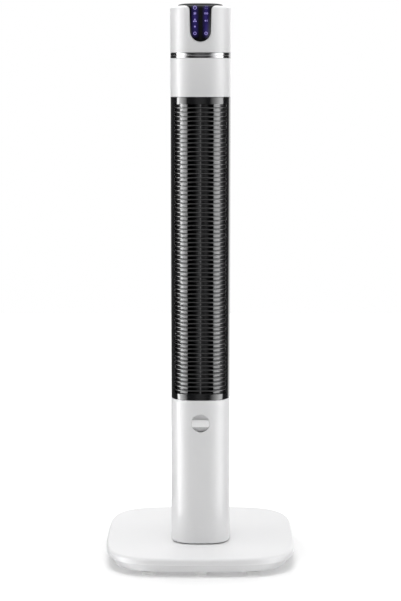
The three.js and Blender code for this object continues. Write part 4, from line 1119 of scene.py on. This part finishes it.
    def _screw(self, axis: Vector, start: float, face: float) -> Piece:
        """One screw along +Y with a domed head and a cross recess.

        Args:
            axis: A point of its axis.
            start: The y of its tip.
            face: The y of its head's top.

        Returns:
            The screw.
        """
        radius = self.screw_radius
        stack = RingStack("screw", axis, steps=32, facing=Facing.BACK)
        profile = [(self.screw_shank, start), (self.screw_shank, face - self.screw_dome[0][1])]
        profile += [(radius * share, face - depth) for share, depth in self.screw_dome]
        screw = stack.solid(profile)
        line, half = self.recess_line, self.recess_half
        for width, height in ((line, half), (half, line)):
            low = axis + Vector((-width, face - self.recess_depth, -height))
            high = axis + Vector((width, face + self.past, height))
            combine(screw, box_piece("recess", low, high))
        return screw

    def build(self) -> None:
        """Builds the column's shells, ring and screws."""
        self.lower_cover()
        self.upper_cover()
        self.rear_housing()
        self.ring()
        self.screws()


@dataclass
class Grille:
    """The front grille: a curved frame and its slats. Sizes in millimetres."""

    column: Column
    wall: float = 4.0
    reach: float = 46.0
    pitch: float = 7.61
    slat: float = 2.4
    edge: float = 0.4
    slat_round: float = 1.15
    slat_back: float = 0.05
    overlap: float = 0.8

    @property
    def count(self) -> int:
        """Number of slots."""
        return int((self.column.slot_top - self.column.slot_bottom + self.slat) / self.pitch)

    def surround(self) -> Piece:
        """The grille's frame: two bands and two side walls."""
        column = self.column
        inner = column.half - self.wall
        profile = wall_profile(inner, column.half, column.grille_bottom, column.grille_top, self.edge)
        surround = column.stack("grille_surround").tube(profile)
        seam = (column.axis + Vector((0.0, column.seam - column.gap / 2, 0.0))) * MM
        bisect(surround, seam, Y_AXIS)
        back = column.front_face(inner, self.reach) + self.wall / 2
        top = column.slot_bottom + self.count * self.pitch - self.slat
        low = Vector((-self.reach, -column.forward - column.half - column.past, column.slot_bottom))
        combine(surround, box_piece("window", low, Vector((self.reach, back, top))))
        return dress(surround, BLACK_GLOSS, "column", ["front_grille"])

    def slats(self) -> Piece:
        """The slats, one curved bar with rounded front edges, repeated up the window."""
        column = self.column
        inner = column.half - self.wall
        bottom = column.slot_bottom + self.pitch - self.slat
        top = bottom + self.slat
        profile = wall_profile(inner, column.half - self.slat_back, bottom, top, self.slat_round, 4)
        slat = column.stack("grille_slats").tube(profile)
        end = (self.reach + self.overlap) * MM
        bisect(slat, column.axis * MM, Y_AXIS)
        bisect(slat, Vector((end, 0.0, 0.0)), X_AXIS)
        bisect(slat, Vector((-end, 0.0, 0.0)), Vector((-1.0, 0.0, 0.0)))
        repeat(slat, self.count - 1, Vector((0.0, 0.0, self.pitch)))
        return dress(slat, BLACK_GLOSS, "column")

    def build(self) -> None:
        """Builds the frame and the slats."""
        self.surround()
        self.slats()


@dataclass
class VaneFrame:
    """The panel behind the slats: a curved sheet with two windows and three upright vanes. Sizes in millimetres."""

    column: Column
    half: float = 46.4
    wall: float = 1.6
    bottom: float = 296.3
    top: float = 839.7
    window_edge: float = 23.1
    vane_width: float = 2.4
    vane_depth: float = 8.0
    soft: float = 0.3

    def build(self) -> Piece:
        """Builds the panel and joins the vanes to it."""
        column = self.column
        inner = self.half - self.wall
        profile = [(inner, self.bottom), (self.half, self.bottom), (self.half, self.top), (inner, self.top)]
        panel = column.stack("vane_panel").tube(profile)
        back = (column.axis - Vector((0.0, self.half / 2, 0.0))) * MM
        bisect(panel, back, Y_AXIS)
        front = -column.forward - self.half
        for side in (-1, 1):
            edges = sorted((side * self.vane_width / 2, side * self.window_edge))
            low = Vector((edges[0], front - column.past, column.slot_bottom))
            combine(panel, box_piece("window", low, Vector((edges[1], front + self.half / 2, column.slot_top))))
        start = column.front_face(inner, self.window_edge) - self.wall / 2
        for left in (-self.window_edge - self.vane_width, -self.vane_width / 2, self.window_edge):
            low = Vector((left, start, self.bottom))
            high = Vector((left + self.vane_width, start + self.vane_depth, self.top))
            vane = box_piece("vane", low, high)
            bevel_edges(vane, Z_AXIS, self.soft, 2, Facing.BACK.direction)
            combine(panel, vane, "UNION")
        return dress(panel, SMOKED_GREY, "column", ["vane_frame"])


@dataclass
class ScentCap:
    """The quarter-turn cap of the scent box: a satin dish and a finger bar whose brighter white is a painted
    highlight. Sizes in millimetres.
    """

    column: Column
    radius: float = 16.0
    recess: float = 7.0
    skirt: float = 9.0
    wall: float = 2.0
    bar_height: float = 13.0
    bar_proud: float = 1.6
    bar_lean: float = 4.0
    bar_edge: float = 0.8
    bar_round: float = 1.2
    dish_round: float = 0.6

    def build(self) -> Piece:
        """Builds the cap: a sunken dish and a finger bar whose face leans back."""
        column = self.column
        centre = column.axis + Vector((0.0, 0.0, column.cap_height))
        face = column.half - self.recess
        skirt = face - self.skirt
        dish_stack = RingStack("dish", centre, steps=96, facing=Facing.FRONT)
        inner = self.radius - self.wall
        profile = [(inner, face - self.wall), (inner, skirt), (self.radius, skirt)]
        profile += quarter_round(self.radius, face, self.dish_round, 3)
        dish = dish_stack.solid(profile)
        proud = column.half + self.bar_proud
        front = centre.y - proud
        low = centre + Vector((-self.radius, 0.0, -self.bar_height / 2))
        high = centre + Vector((self.radius, 0.0, self.bar_height / 2))
        low.y = front
        high.y = centre.y - face + self.wall / 2
        bar = box_piece("bar", low, high)
        upper, foremost = centre.z * MM, (front + NEAR) * MM
        select_parts(bar, "VERT", lambda vertex: vertex.co.y < foremost and vertex.co.z > upper)
        bpy.ops.transform.translate(value=(0.0, self.bar_lean * MM, 0.0))
        leave_edit()
        for upright in (1.0, -1.0):
            side = Vector((0.0, -1.0, upright)).normalized()
            bevel_edges(bar, X_AXIS, self.bar_edge, 4, side)
        round_stack = RingStack("round", centre, steps=96, facing=Facing.FRONT)
        rounding = [(self.radius, 0.0)] + quarter_round(self.radius, proud, self.bar_round, 5)
        combine(bar, round_stack.solid(rounding), "INTERSECT")
        dish.name, bar.name = "scent_box_cap", "scent_box_bar"
        # The bar is given a lighter white than the dish of the same cap: painted highlight, not a different
        # plastic.
        dress(bar, PAINTED_LIGHT_WHITE, "scent_cap")
        return dress(dish, WHITE_SATIN, "scent_cap", ["scent_cap"])


@dataclass
class Wheel:
    """The cross-flow wheel: curved blades between round plates. Sizes in millimetres."""

    axis_y: float = -28.0
    radius: float = 29.6
    root: float = 21.5
    blades: int = 36
    blade: float = 0.9
    blade_chords: int = 4
    curve: float = 38.0
    bottom: float = 302.0
    top: float = 832.0
    spans: int = 5
    plate: float = 3.0
    plate_edge: float = 0.5
    lap: float = 0.2
    hub: float = 8.0

    def _blade(self, low: float, high: float) -> Piece:
        """One curved blade, from a thin box that is cut across and swept back ring by ring.

        Args:
            low: Its lower end.
            high: Its upper end.

        Returns:
            The blade, at the front of the wheel.
        """
        centre = Vector((0.0, self.axis_y, 0.0))
        reach = self.radius - self.root
        blade = box_piece(
            "blade",
            Vector((-self.blade / 2, self.axis_y - self.radius, low)),
            Vector((self.blade / 2, self.axis_y - self.root, high)),
        )
        for i in range(1, self.blade_chords):
            edit_all(blade)
            cut = centre - Vector((0.0, self.radius - reach * i / self.blade_chords, 0.0))
            bpy.ops.mesh.bisect(plane_co=cut * MM, plane_no=(0.0, 1.0, 0.0))
            leave_edit()
        for vertex in blade.data.vertices:
            offset = vertex.co - centre * MM
            share = (-offset.y / MM - self.root) / reach
            turn = Matrix.Rotation(math.radians(self.curve) * share**2, 4, "Z")
            vertex.co = turn @ offset + centre * MM
        return blade

    def _span(self, low: float, high: float) -> list[Piece]:
        """The blades of one span.

        Args:
            low: Their lower end.
            high: Their upper end.

        Returns:
            The blades, once round the wheel.
        """
        first = self._blade(low, high)
        centre = Matrix.Translation(Vector((0.0, self.axis_y * MM, 0.0)))
        blades = [first]
        for i in range(1, self.blades):
            turn = Matrix.Rotation(2 * math.pi * i / self.blades, 4, "Z")
            blades.append(copy_piece(first, centre @ turn @ centre.inverted()))
        return blades

    def build(self) -> Piece:
        """Builds the wheel's plates, hub rings and blades as one piece."""
        pitch = (self.top - self.bottom - self.plate) / self.spans
        parts = []
        for i in range(self.spans + 1):
            low = self.bottom + pitch * i
            stack = RingStack("plate", Vector((0.0, self.axis_y, 0.0)), steps=48)
            high = low + self.plate
            rim = self.radius - self.lap
            edge = rim - self.plate_edge
            profile = [(self.hub, low), (edge, low), (rim, low + self.plate_edge)]
            profile += [(rim, high - self.plate_edge), (edge, high), (self.hub, high)]
            parts.append(stack.tube(profile))
            if i < self.spans:
                parts += self._span(high - self.lap, low + pitch + self.lap)
        wheel = join_pieces("bladed_wheel", parts)
        return dress(wheel, WHEEL_BLACK, "wheel", ["cross_flow_wheel"])


class Side(Enum):
    """Column of icons on the touch panel."""

    LEFT = -1
    RIGHT = 1


@dataclass
class Head:
    """The head: white hood, black lens and its lit icons. Sizes in millimetres."""

    column: Column
    bottom: float = 914.0
    top: float = 994.0
    shoulder: float = 5.0
    wall: float = 2.4
    gap: float = 0.3
    lens_proud: float = 0.4
    lens_thick: float = 2.2
    disc_half: float = 40.0
    disc_sink: float = 3.0
    dome_rise: float = 6.0
    dome_lip: float = 0.6
    dome_roundness: float = 3.0
    dome_chords: int = 14
    dome_end: float = 0.92
    tongue_half_top: float = 18.9
    tongue_half_bottom: float = 18.0
    tongue_length: float = 61.8
    tongue_fillet: float = 7.5
    tongue_corner_chords: int = 12
    tongue_end_chords: int = 48
    past: float = 4.0
    disc_past: float = 3.0
    hood_edge: float = 1.1
    lens_edge: float = 0.2
    edge_angle: float = 50.0
    icon_side: float = 9.7
    icon_size: float = 3.2
    icon_line: float = 0.9
    icon_sink: float = 0.1
    icon_lift: float = 0.05
    stroke_lift: float = 0.14
    petal: float = 1.25
    petal_reach: float = 2.1
    icon_heights: tuple[float, ...] = (990.0, 980.2, 967.8, 957.8, 946.2)

    def _form(self, name: str, offset: float, bottom: float) -> Piece:
        """The head's outer form, moved outwards by an offset, as a closed body.

        Args:
            name: The body's name.
            offset: The distance outwards.
            bottom: Its lower end.

        Returns:
            The body.
        """
        half = self.column.half + offset
        profile = [(half, bottom)] + quarter_round(half, self.top + offset, self.shoulder, 10)
        return self.column.stack(name).solid(profile)

    def _tongue_outline(self, margin: float) -> Points:
        """The tongue's outline, made larger by a margin.

        Args:
            margin: The distance outwards.

        Returns:
            Its points in x and z.
        """
        high = self.top + self.dome_rise + self.past
        fillet = self.tongue_fillet - margin
        side = self.tongue_half_top + self.tongue_fillet
        level = self.top - self.tongue_fillet
        radius = self.tongue_half_bottom + margin
        end = self.top - self.tongue_length + self.tongue_half_bottom
        points = [(-side, high)]
        corner, around = self.tongue_corner_chords, self.tongue_end_chords
        for i in range(corner + 1):
            turn = math.pi / 2 * (1 - i / corner)
            points.append((-side + fillet * math.cos(turn), level + fillet * math.sin(turn)))
        for i in range(around + 1):
            turn = math.pi * (1 + i / around)
            points.append((radius * math.cos(turn), end + radius * math.sin(turn)))
        for i in range(corner + 1):
            turn = math.pi * (1 - 0.5 * i / corner)
            points.append((side + fillet * math.cos(turn), level + fillet * math.sin(turn)))
        points.append((side, high))
        return points

    def _region(self, margin: float) -> Piece:
        """The room of the lens: a prism with the tongue's outline and a column for the top disc.

        Args:
            margin: The distance by which the room is larger than the lens.

        Returns:
            The room.
        """
        outline = self._tongue_outline(margin)
        front = -self.column.forward - self.column.half - self.past
        mesh = bpy.data.meshes.new("tongue")
        mesh.from_pydata([(x * MM, front * MM, z * MM) for x, z in outline], [], [list(range(len(outline)))])
        prism = link(bpy.data.objects.new("tongue", mesh))
        edit_all(prism)
        depth = self.column.half - self.disc_half / 2 + self.past
        bpy.ops.mesh.extrude_region_move(TRANSFORM_OT_translate={"value": (0.0, depth * MM, 0.0)})
        bpy.ops.mesh.select_all(action="SELECT")
        bpy.ops.mesh.normals_make_consistent(inside=False)
        leave_edit()
        disc = self.disc_half + margin
        high = self.top + self.dome_rise + self.disc_past
        top = self.column.stack("disc").solid([(disc, self.top - 2 * self.disc_sink), (disc, high)])
        combine(prism, top, "UNION")
        return prism

    def _dome(self) -> Piece:
        """The shallow dome on top of the lens."""
        last = math.pi / 2 * self.dome_end
        power = 2 / self.dome_roundness
        profile = [(self.disc_half, self.top - self.disc_sink)]
        for i in range(self.dome_chords + 1):
            turn = i / self.dome_chords * last
            rise = (math.sin(turn) / math.sin(last)) ** power
            half = self.disc_half * math.cos(turn) ** power
            profile.append((half, self.top + self.dome_lip + (self.dome_rise - self.dome_lip) * rise))
        return self.column.stack("dome").solid(profile)

    def _soften(self, piece: Piece, width: float, segments: int) -> None:
        """Rounds the sharp edges of a piece.

        Args:
            piece: The piece.
            width: The rounding's size.
            segments: Number of chords.
        """
        limit = math.radians(self.edge_angle)
        apply_modifier(
            piece, "BEVEL", width=width * MM, segments=segments, limit_method="ANGLE", angle_limit=limit
        )

    def hood(self) -> Piece:
        """The white hood, hollow and open where the lens lies."""
        hood = self._form("head_hood", 0.0, self.bottom)
        combine(hood, self._form("inside", -self.wall, self.bottom - 1))
        combine(hood, self._region(self.gap))
        self._soften(hood, self.hood_edge, 4)
        return dress(hood, WHITE_GLOSS, "column", ["head_shell"])

    def lens(self) -> Piece:
        """The black lens: dome and tongue in one."""
        lens = self._form("panel_lens", self.lens_proud, self.bottom)
        combine(lens, self._dome(), "UNION")
        combine(lens, self._form("inside", -self.lens_thick, self.bottom - 1))
        combine(lens, self._region(0.0), "INTERSECT")
        self._soften(lens, self.lens_edge, 2)
        return dress(lens, BLACK_LENS, "column", ["touch_lens"])

    def _wrap(self, icon: Piece) -> None:
        """Lays a flat icon, drawn in x and z, on the lens's curved face.

        Args:
            icon: The icon.
        """
        half = self.column.half + self.lens_proud
        start = self.top + self.lens_proud - self.shoulder
        for vertex in icon.data.vertices:
            x, depth, z = vertex.co / MM
            above = max(0.0, z - start)
            inset = self.shoulder - math.sqrt(max(0.0, self.shoulder**2 - above**2))
            vertex.co.y = (self.column.front_face(half - inset, x) + depth) * MM

    def _disc(self, x: float, z: float, radius: float, hole: float = 0.0) -> Piece:
        """A thin disc or ring of an icon, before it is laid on the lens.

        Args:
            x: Side position of its centre.
            z: Height of its centre.
            radius: Its radius.
            hole: Radius of its hole.

        Returns:
            The disc.
        """
        stack = RingStack("icon", Vector((x, 0.0, z)), steps=32, facing=Facing.FRONT)
        low, high = -self.icon_sink, self.icon_lift
        if hole:
            return stack.tube([(hole, low), (radius, low), (radius, high), (hole, high)])
        return stack.solid([(radius, low), (radius, high)])

    def _stroke(self, x: float, z: float, length: float, turn: float = 0.0) -> Piece:
        """A thin straight stroke of an icon.

        Args:
            x: Side position of its middle.
            z: Height of its middle.
            length: Its length.
            turn: Angle from upright, in degrees.

        Returns:
            The stroke.
        """
        half = self.icon_line / 2
        low = Vector((-half, -self.stroke_lift, -length / 2))
        stroke = box_piece("icon", low, Vector((half, self.icon_sink, length / 2)))
        place = Matrix.Translation(Vector((x, 0.0, z)) * MM) @ Matrix.Rotation(math.radians(turn), 4, "Y")
        stroke.data.transform(place)
        return stroke

    def icons(self) -> None:
        """Builds the lit icons: power, breeze, speed, level, night at left, timer, swing, mode, clock at right."""
        size, line = self.icon_size, self.icon_line
        left, right = (side.value * self.icon_side for side in (Side.LEFT, Side.RIGHT))
        first, second, third, fourth, fifth = self.icon_heights
        petals = []
        for angle in (90, 210, 330):
            turn = math.radians(angle)
            x, z = left + self.petal_reach * math.cos(turn), third + self.petal_reach * math.sin(turn)
            petals.append(self._disc(x, z, self.petal))
        drawings = {
            "icon_power": [self._disc(left, first, size, size - line), self._stroke(left, first + 1.2, 2.6)],
            "icon_breeze": [self._stroke(left, second, 2 * size * 0.8, turn) for turn in (0, 60, 120)],
            "icon_speed": petals + [self._disc(left, third, 0.7)],
            "icon_level": [self._disc(left, fourth, 1.5)],
            "icon_night": [self._disc(left, fifth, size * 0.85, size * 0.85 - line)],
            "icon_timer": [self._stroke(right + shift, first, 3.6) for shift in (-1.6, 1.6)],
            "icon_swing": [self._disc(right + shift, second, 1.6, 0.75) for shift in (-1.7, 1.9)],
            "icon_mode": [self._disc(right - 1.2, third, 1.4), self._stroke(right + 1.9, third, 3.0)],
            "icon_clock": [
                self._disc(right, fifth, size * 0.9, size * 0.9 - line),
                self._stroke(right, fifth + 0.6, 1.8),
            ],
        }
        for name, strokes in drawings.items():
            icon = join_pieces(name, strokes)
            self._wrap(icon)
            dress(icon, ICON_LIGHT, "column")

    def build(self) -> None:
        """Builds the hood, the lens and the icons."""
        self.hood()
        self.lens()
        self.icons()


@dataclass
class InnerWorks:
    """The frame's own pieces that stay in view or inside: each gets its finish."""

    def finish_of(self, name: str) -> Finish:
        """The finish of one of the frame's nodes.

        Args:
            name: The node's name.

        Returns:
            The finish of the first word that the name contains, or black satin plastic.
        """
        by_word = {
            "screw": SCREW_STEEL,
            "clip": SCREW_STEEL,
            "nut": SCREW_STEEL,
            "ballast": STEEL,
            "swivel_post": ZINC,
            "slide_ring": NYLON,
            "gear": NYLON,
            "pinion": NYLON,
            "shaft": STEEL,
            "wheel_pin": STEEL,
            "bush": BRONZE,
            "board": BOARD,
            "scent": WHITE_SATIN,
            "fan_motor": STEEL,
            "swing_motor": STEEL,
        }
        for word, finish in by_word.items():
            if word in name:
                return finish
        return BLACK_SATIN

    def build(self) -> None:
        """Dresses every node of the frame that is still shown."""
        for name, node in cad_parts.items():
            if not node.hide_render:
                node.data.materials.clear()
                node.data.materials.append(self.finish_of(name).material())
                LOG.info("%s: dressed", name)


# ---------- studio ----------


@dataclass
class Softbox:
    """A tall area lamp that faces the column. Sizes in metres, the turn in degrees from the front."""

    name: str
    turn: float
    distance: float
    width: float
    height: float
    power: float
    middle: float = 0.6
    axis_y: float = -0.032
    aim_height: float = 0.5

    def build(self) -> None:
        """Adds the lamp."""
        data = bpy.data.lights.new(self.name, "AREA")
        data.shape = "RECTANGLE"
        data.size = self.width
        data.size_y = self.height
        data.energy = self.power
        lamp = link(bpy.data.objects.new(self.name, data))
        lamp.visible_glossy = False
        turn = math.radians(self.turn)
        place = Vector((math.sin(turn), -math.cos(turn), 0.0)) * self.distance
        lamp.location = place + Vector((0.0, self.axis_y, self.middle))
        aim = Vector((0.0, self.axis_y, self.aim_height)) - lamp.location
        lamp.rotation_euler = aim.to_track_quat("-Z", "Y").to_euler()


@dataclass(frozen=True)
class Panel:
    """A tall panel that only gloss sees: turns in degrees from the front, and its level at either end."""

    name: str
    start: float
    end: float
    first: float
    last: float


@dataclass
class Studio:
    """Camera, floor, surroundings and lamps. Lengths in metres, turns in degrees, the sensor in millimetres."""

    eye: tuple[float, float, float] = (0.0, -2.7577, 0.850)
    pitch: float = 0.1377
    focal_pixels: float = 1522.5
    picture_height: float = 601.0
    sensor: float = 24.0
    floor_size: float = 6.0
    floor_drop: float = 0.0003
    floor_colour: Colour = (0.85, 0.85, 0.85)
    floor_roughness: float = 0.3
    floor_near: float = 0.19
    floor_far: float = 0.5
    floor_glow: float = 0.10
    floor_bounce: float = 0.16
    fill: float = 0.29
    side_power: float = 9.5
    side_turn: float = 86.0
    side_distance: float = 1.6
    side_width: float = 0.6
    side_height: float = 1.8
    top_power: float = 36.0
    top_distance: float = 0.05
    top_size: float = 1.4
    top_height: float = 2.4
    ceiling: float = 1.3
    ceiling_start: float = 0.35
    ceiling_full: float = 0.6
    dark: float = 0.06
    soft: float = 4.0
    panels: tuple[Panel, ...] = (
        Panel("rear left", -180.0, -165.0, 1.1, 1.1),
        Panel("left strip", -81.0, -68.0, 12.0, 12.0),
        Panel("left front", -65.0, -28.0, 8.0, 1.6),
        Panel("middle", -1.0, 1.0, 0.3, 0.3),
        Panel("right front", 16.0, 46.0, 0.8, 5.0),
        Panel("right side", 54.0, 74.0, 6.0, 5.5),
        Panel("rear right", 140.0, 165.0, 0.8, 1.6),
        Panel("rear", 175.0, 180.0, 1.1, 1.1),
    )

    def _levels(self) -> Points:
        """The points of the panels' ramp, dark between panels that lie apart.

        Returns:
            Pairs of turn and level.
        """
        points = []
        for before, panel in zip((None, *self.panels), self.panels):
            if before is not None and panel.start - before.end > 2 * self.soft:
                points += [(before.end + self.soft, self.dark), (panel.start - self.soft, self.dark)]
            points += [(panel.start, panel.first), (panel.end, panel.last)]
        return points

    def camera(self) -> None:
        """Adds the camera at the photograph's viewing angle."""
        data = bpy.data.cameras.new("camera")
        data.sensor_fit = "VERTICAL"
        data.sensor_height = self.sensor
        data.lens = self.sensor * self.focal_pixels / self.picture_height
        data.clip_end = 50.0
        camera = link(bpy.data.objects.new("camera", data))
        camera.location = self.eye
        camera.rotation_euler = (math.pi / 2 - self.pitch, 0.0, 0.0)
        bpy.context.scene.camera = camera

    def floor(self) -> None:
        """Adds a plain pale floor: white for the camera, with the object's own shadow, and an even bounce."""
        deselect_all()
        bpy.ops.mesh.primitive_plane_add(size=self.floor_size, location=(0.0, 0.0, -self.floor_drop))
        floor = bpy.context.object
        floor.name = "floor"
        material = bpy.data.materials.new("floor")
        material.use_nodes = True
        tree = material.node_tree
        shader = tree.nodes["Principled BSDF"]
        shader.inputs["Base Color"].default_value = (*self.floor_colour, 1.0)
        shader.inputs["Roughness"].default_value = self.floor_roughness
        length = tree.nodes.new("ShaderNodeVectorMath")
        length.operation = "LENGTH"
        feed(tree, length.inputs[0], tree.nodes.new("ShaderNodeTexCoord").outputs["Object"])
        far = ranged(tree, length.outputs["Value"], self.floor_near, self.floor_far, self.floor_glow, 1.0)
        path = tree.nodes.new("ShaderNodeLightPath").outputs
        glow = tree.nodes.new("ShaderNodeEmission")
        feed(tree, glow.inputs["Strength"], mixed(tree, "FLOAT", path["Is Camera Ray"], self.floor_bounce, far))
        both = tree.nodes.new("ShaderNodeAddShader")
        tree.links.new(shader.outputs["BSDF"], both.inputs[0])
        tree.links.new(glow.outputs["Emission"], both.inputs[1])
        tree.links.new(both.outputs["Shader"], tree.nodes["Material Output"].inputs["Surface"])
        floor.data.materials.append(material)
        floor.visible_glossy = False

    def surroundings(self) -> None:
        """White for the camera, an even dim fill, and tall reflecting panels left and right for gloss."""
        world = bpy.data.worlds.new("studio")
        bpy.context.scene.world = world
        world.use_nodes = True
        tree = world.node_tree
        background = tree.nodes["Background"]
        path = tree.nodes.new("ShaderNodeLightPath").outputs
        split = tree.nodes.new("ShaderNodeSeparateXYZ")
        feed(tree, split.inputs["Vector"], tree.nodes.new("ShaderNodeTexCoord").outputs["Generated"])
        x, y, z = split.outputs
        turn = maths(tree, "ARCTAN2", x, maths(tree, "MULTIPLY", y, -1.0))
        ramp = tree.nodes.new("ShaderNodeValToRGB")
        feed(tree, ramp.inputs["Fac"], ranged(tree, turn, -math.pi, math.pi))
        levels = self._levels()
        most = max(level for _, level in levels)
        elements = ramp.color_ramp.elements
        while len(elements) > 1:
            elements.remove(elements[0])
        for i, (angle, level) in enumerate(levels):
            place = (angle + 180.0) / 360.0
            element = elements[0] if i == 0 else elements.new(place)
            element.position = place
            element.color = (level / most, level / most, level / most, 1.0)
        panels = maths(tree, "MULTIPLY", ramp.outputs["Color"], most)
        above = ranged(tree, z, self.ceiling_start, self.ceiling_full)
        gloss = mixed(tree, "FLOAT", above, panels, self.ceiling)
        unseen = mixed(tree, "FLOAT", path["Is Glossy Ray"], self.fill, gloss)
        feed(tree, background.inputs["Strength"], mixed(tree, "FLOAT", path["Is Camera Ray"], unseen, 1.0))
        background.inputs["Color"].default_value = (1.0, 1.0, 1.0, 1.0)

    def lamps(self) -> None:
        """Adds the softboxes left and right and one above."""
        for side in (-1, 1):
            Softbox(
                f"softbox_{side}", self.side_turn * side, self.side_distance,
                self.side_width, self.side_height, self.side_power,
            ).build()
        Softbox(
            "softbox_top", 0.0, self.top_distance, self.top_size, self.top_size, self.top_power, self.top_height
        ).build()

    def build(self) -> None:
        """Sets up the studio."""
        bpy.context.scene.view_settings.view_transform = "Standard"
        self.camera()
        self.floor()
        self.surroundings()
        self.lamps()


def main() -> None:
    """Builds the fan's pieces and the studio, in order, and writes how large the model is."""
    logging.basicConfig(level=logging.INFO, format="%(message)s")
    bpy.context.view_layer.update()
    Studio().build()
    column = Column()
    Base().build()
    column.build()
    Grille(column).build()
    VaneFrame(column).build()
    ScentCap(column).build()
    Wheel().build()
    Head(column).build()
    InnerWorks().build()


if __name__ == "__main__":
    main()
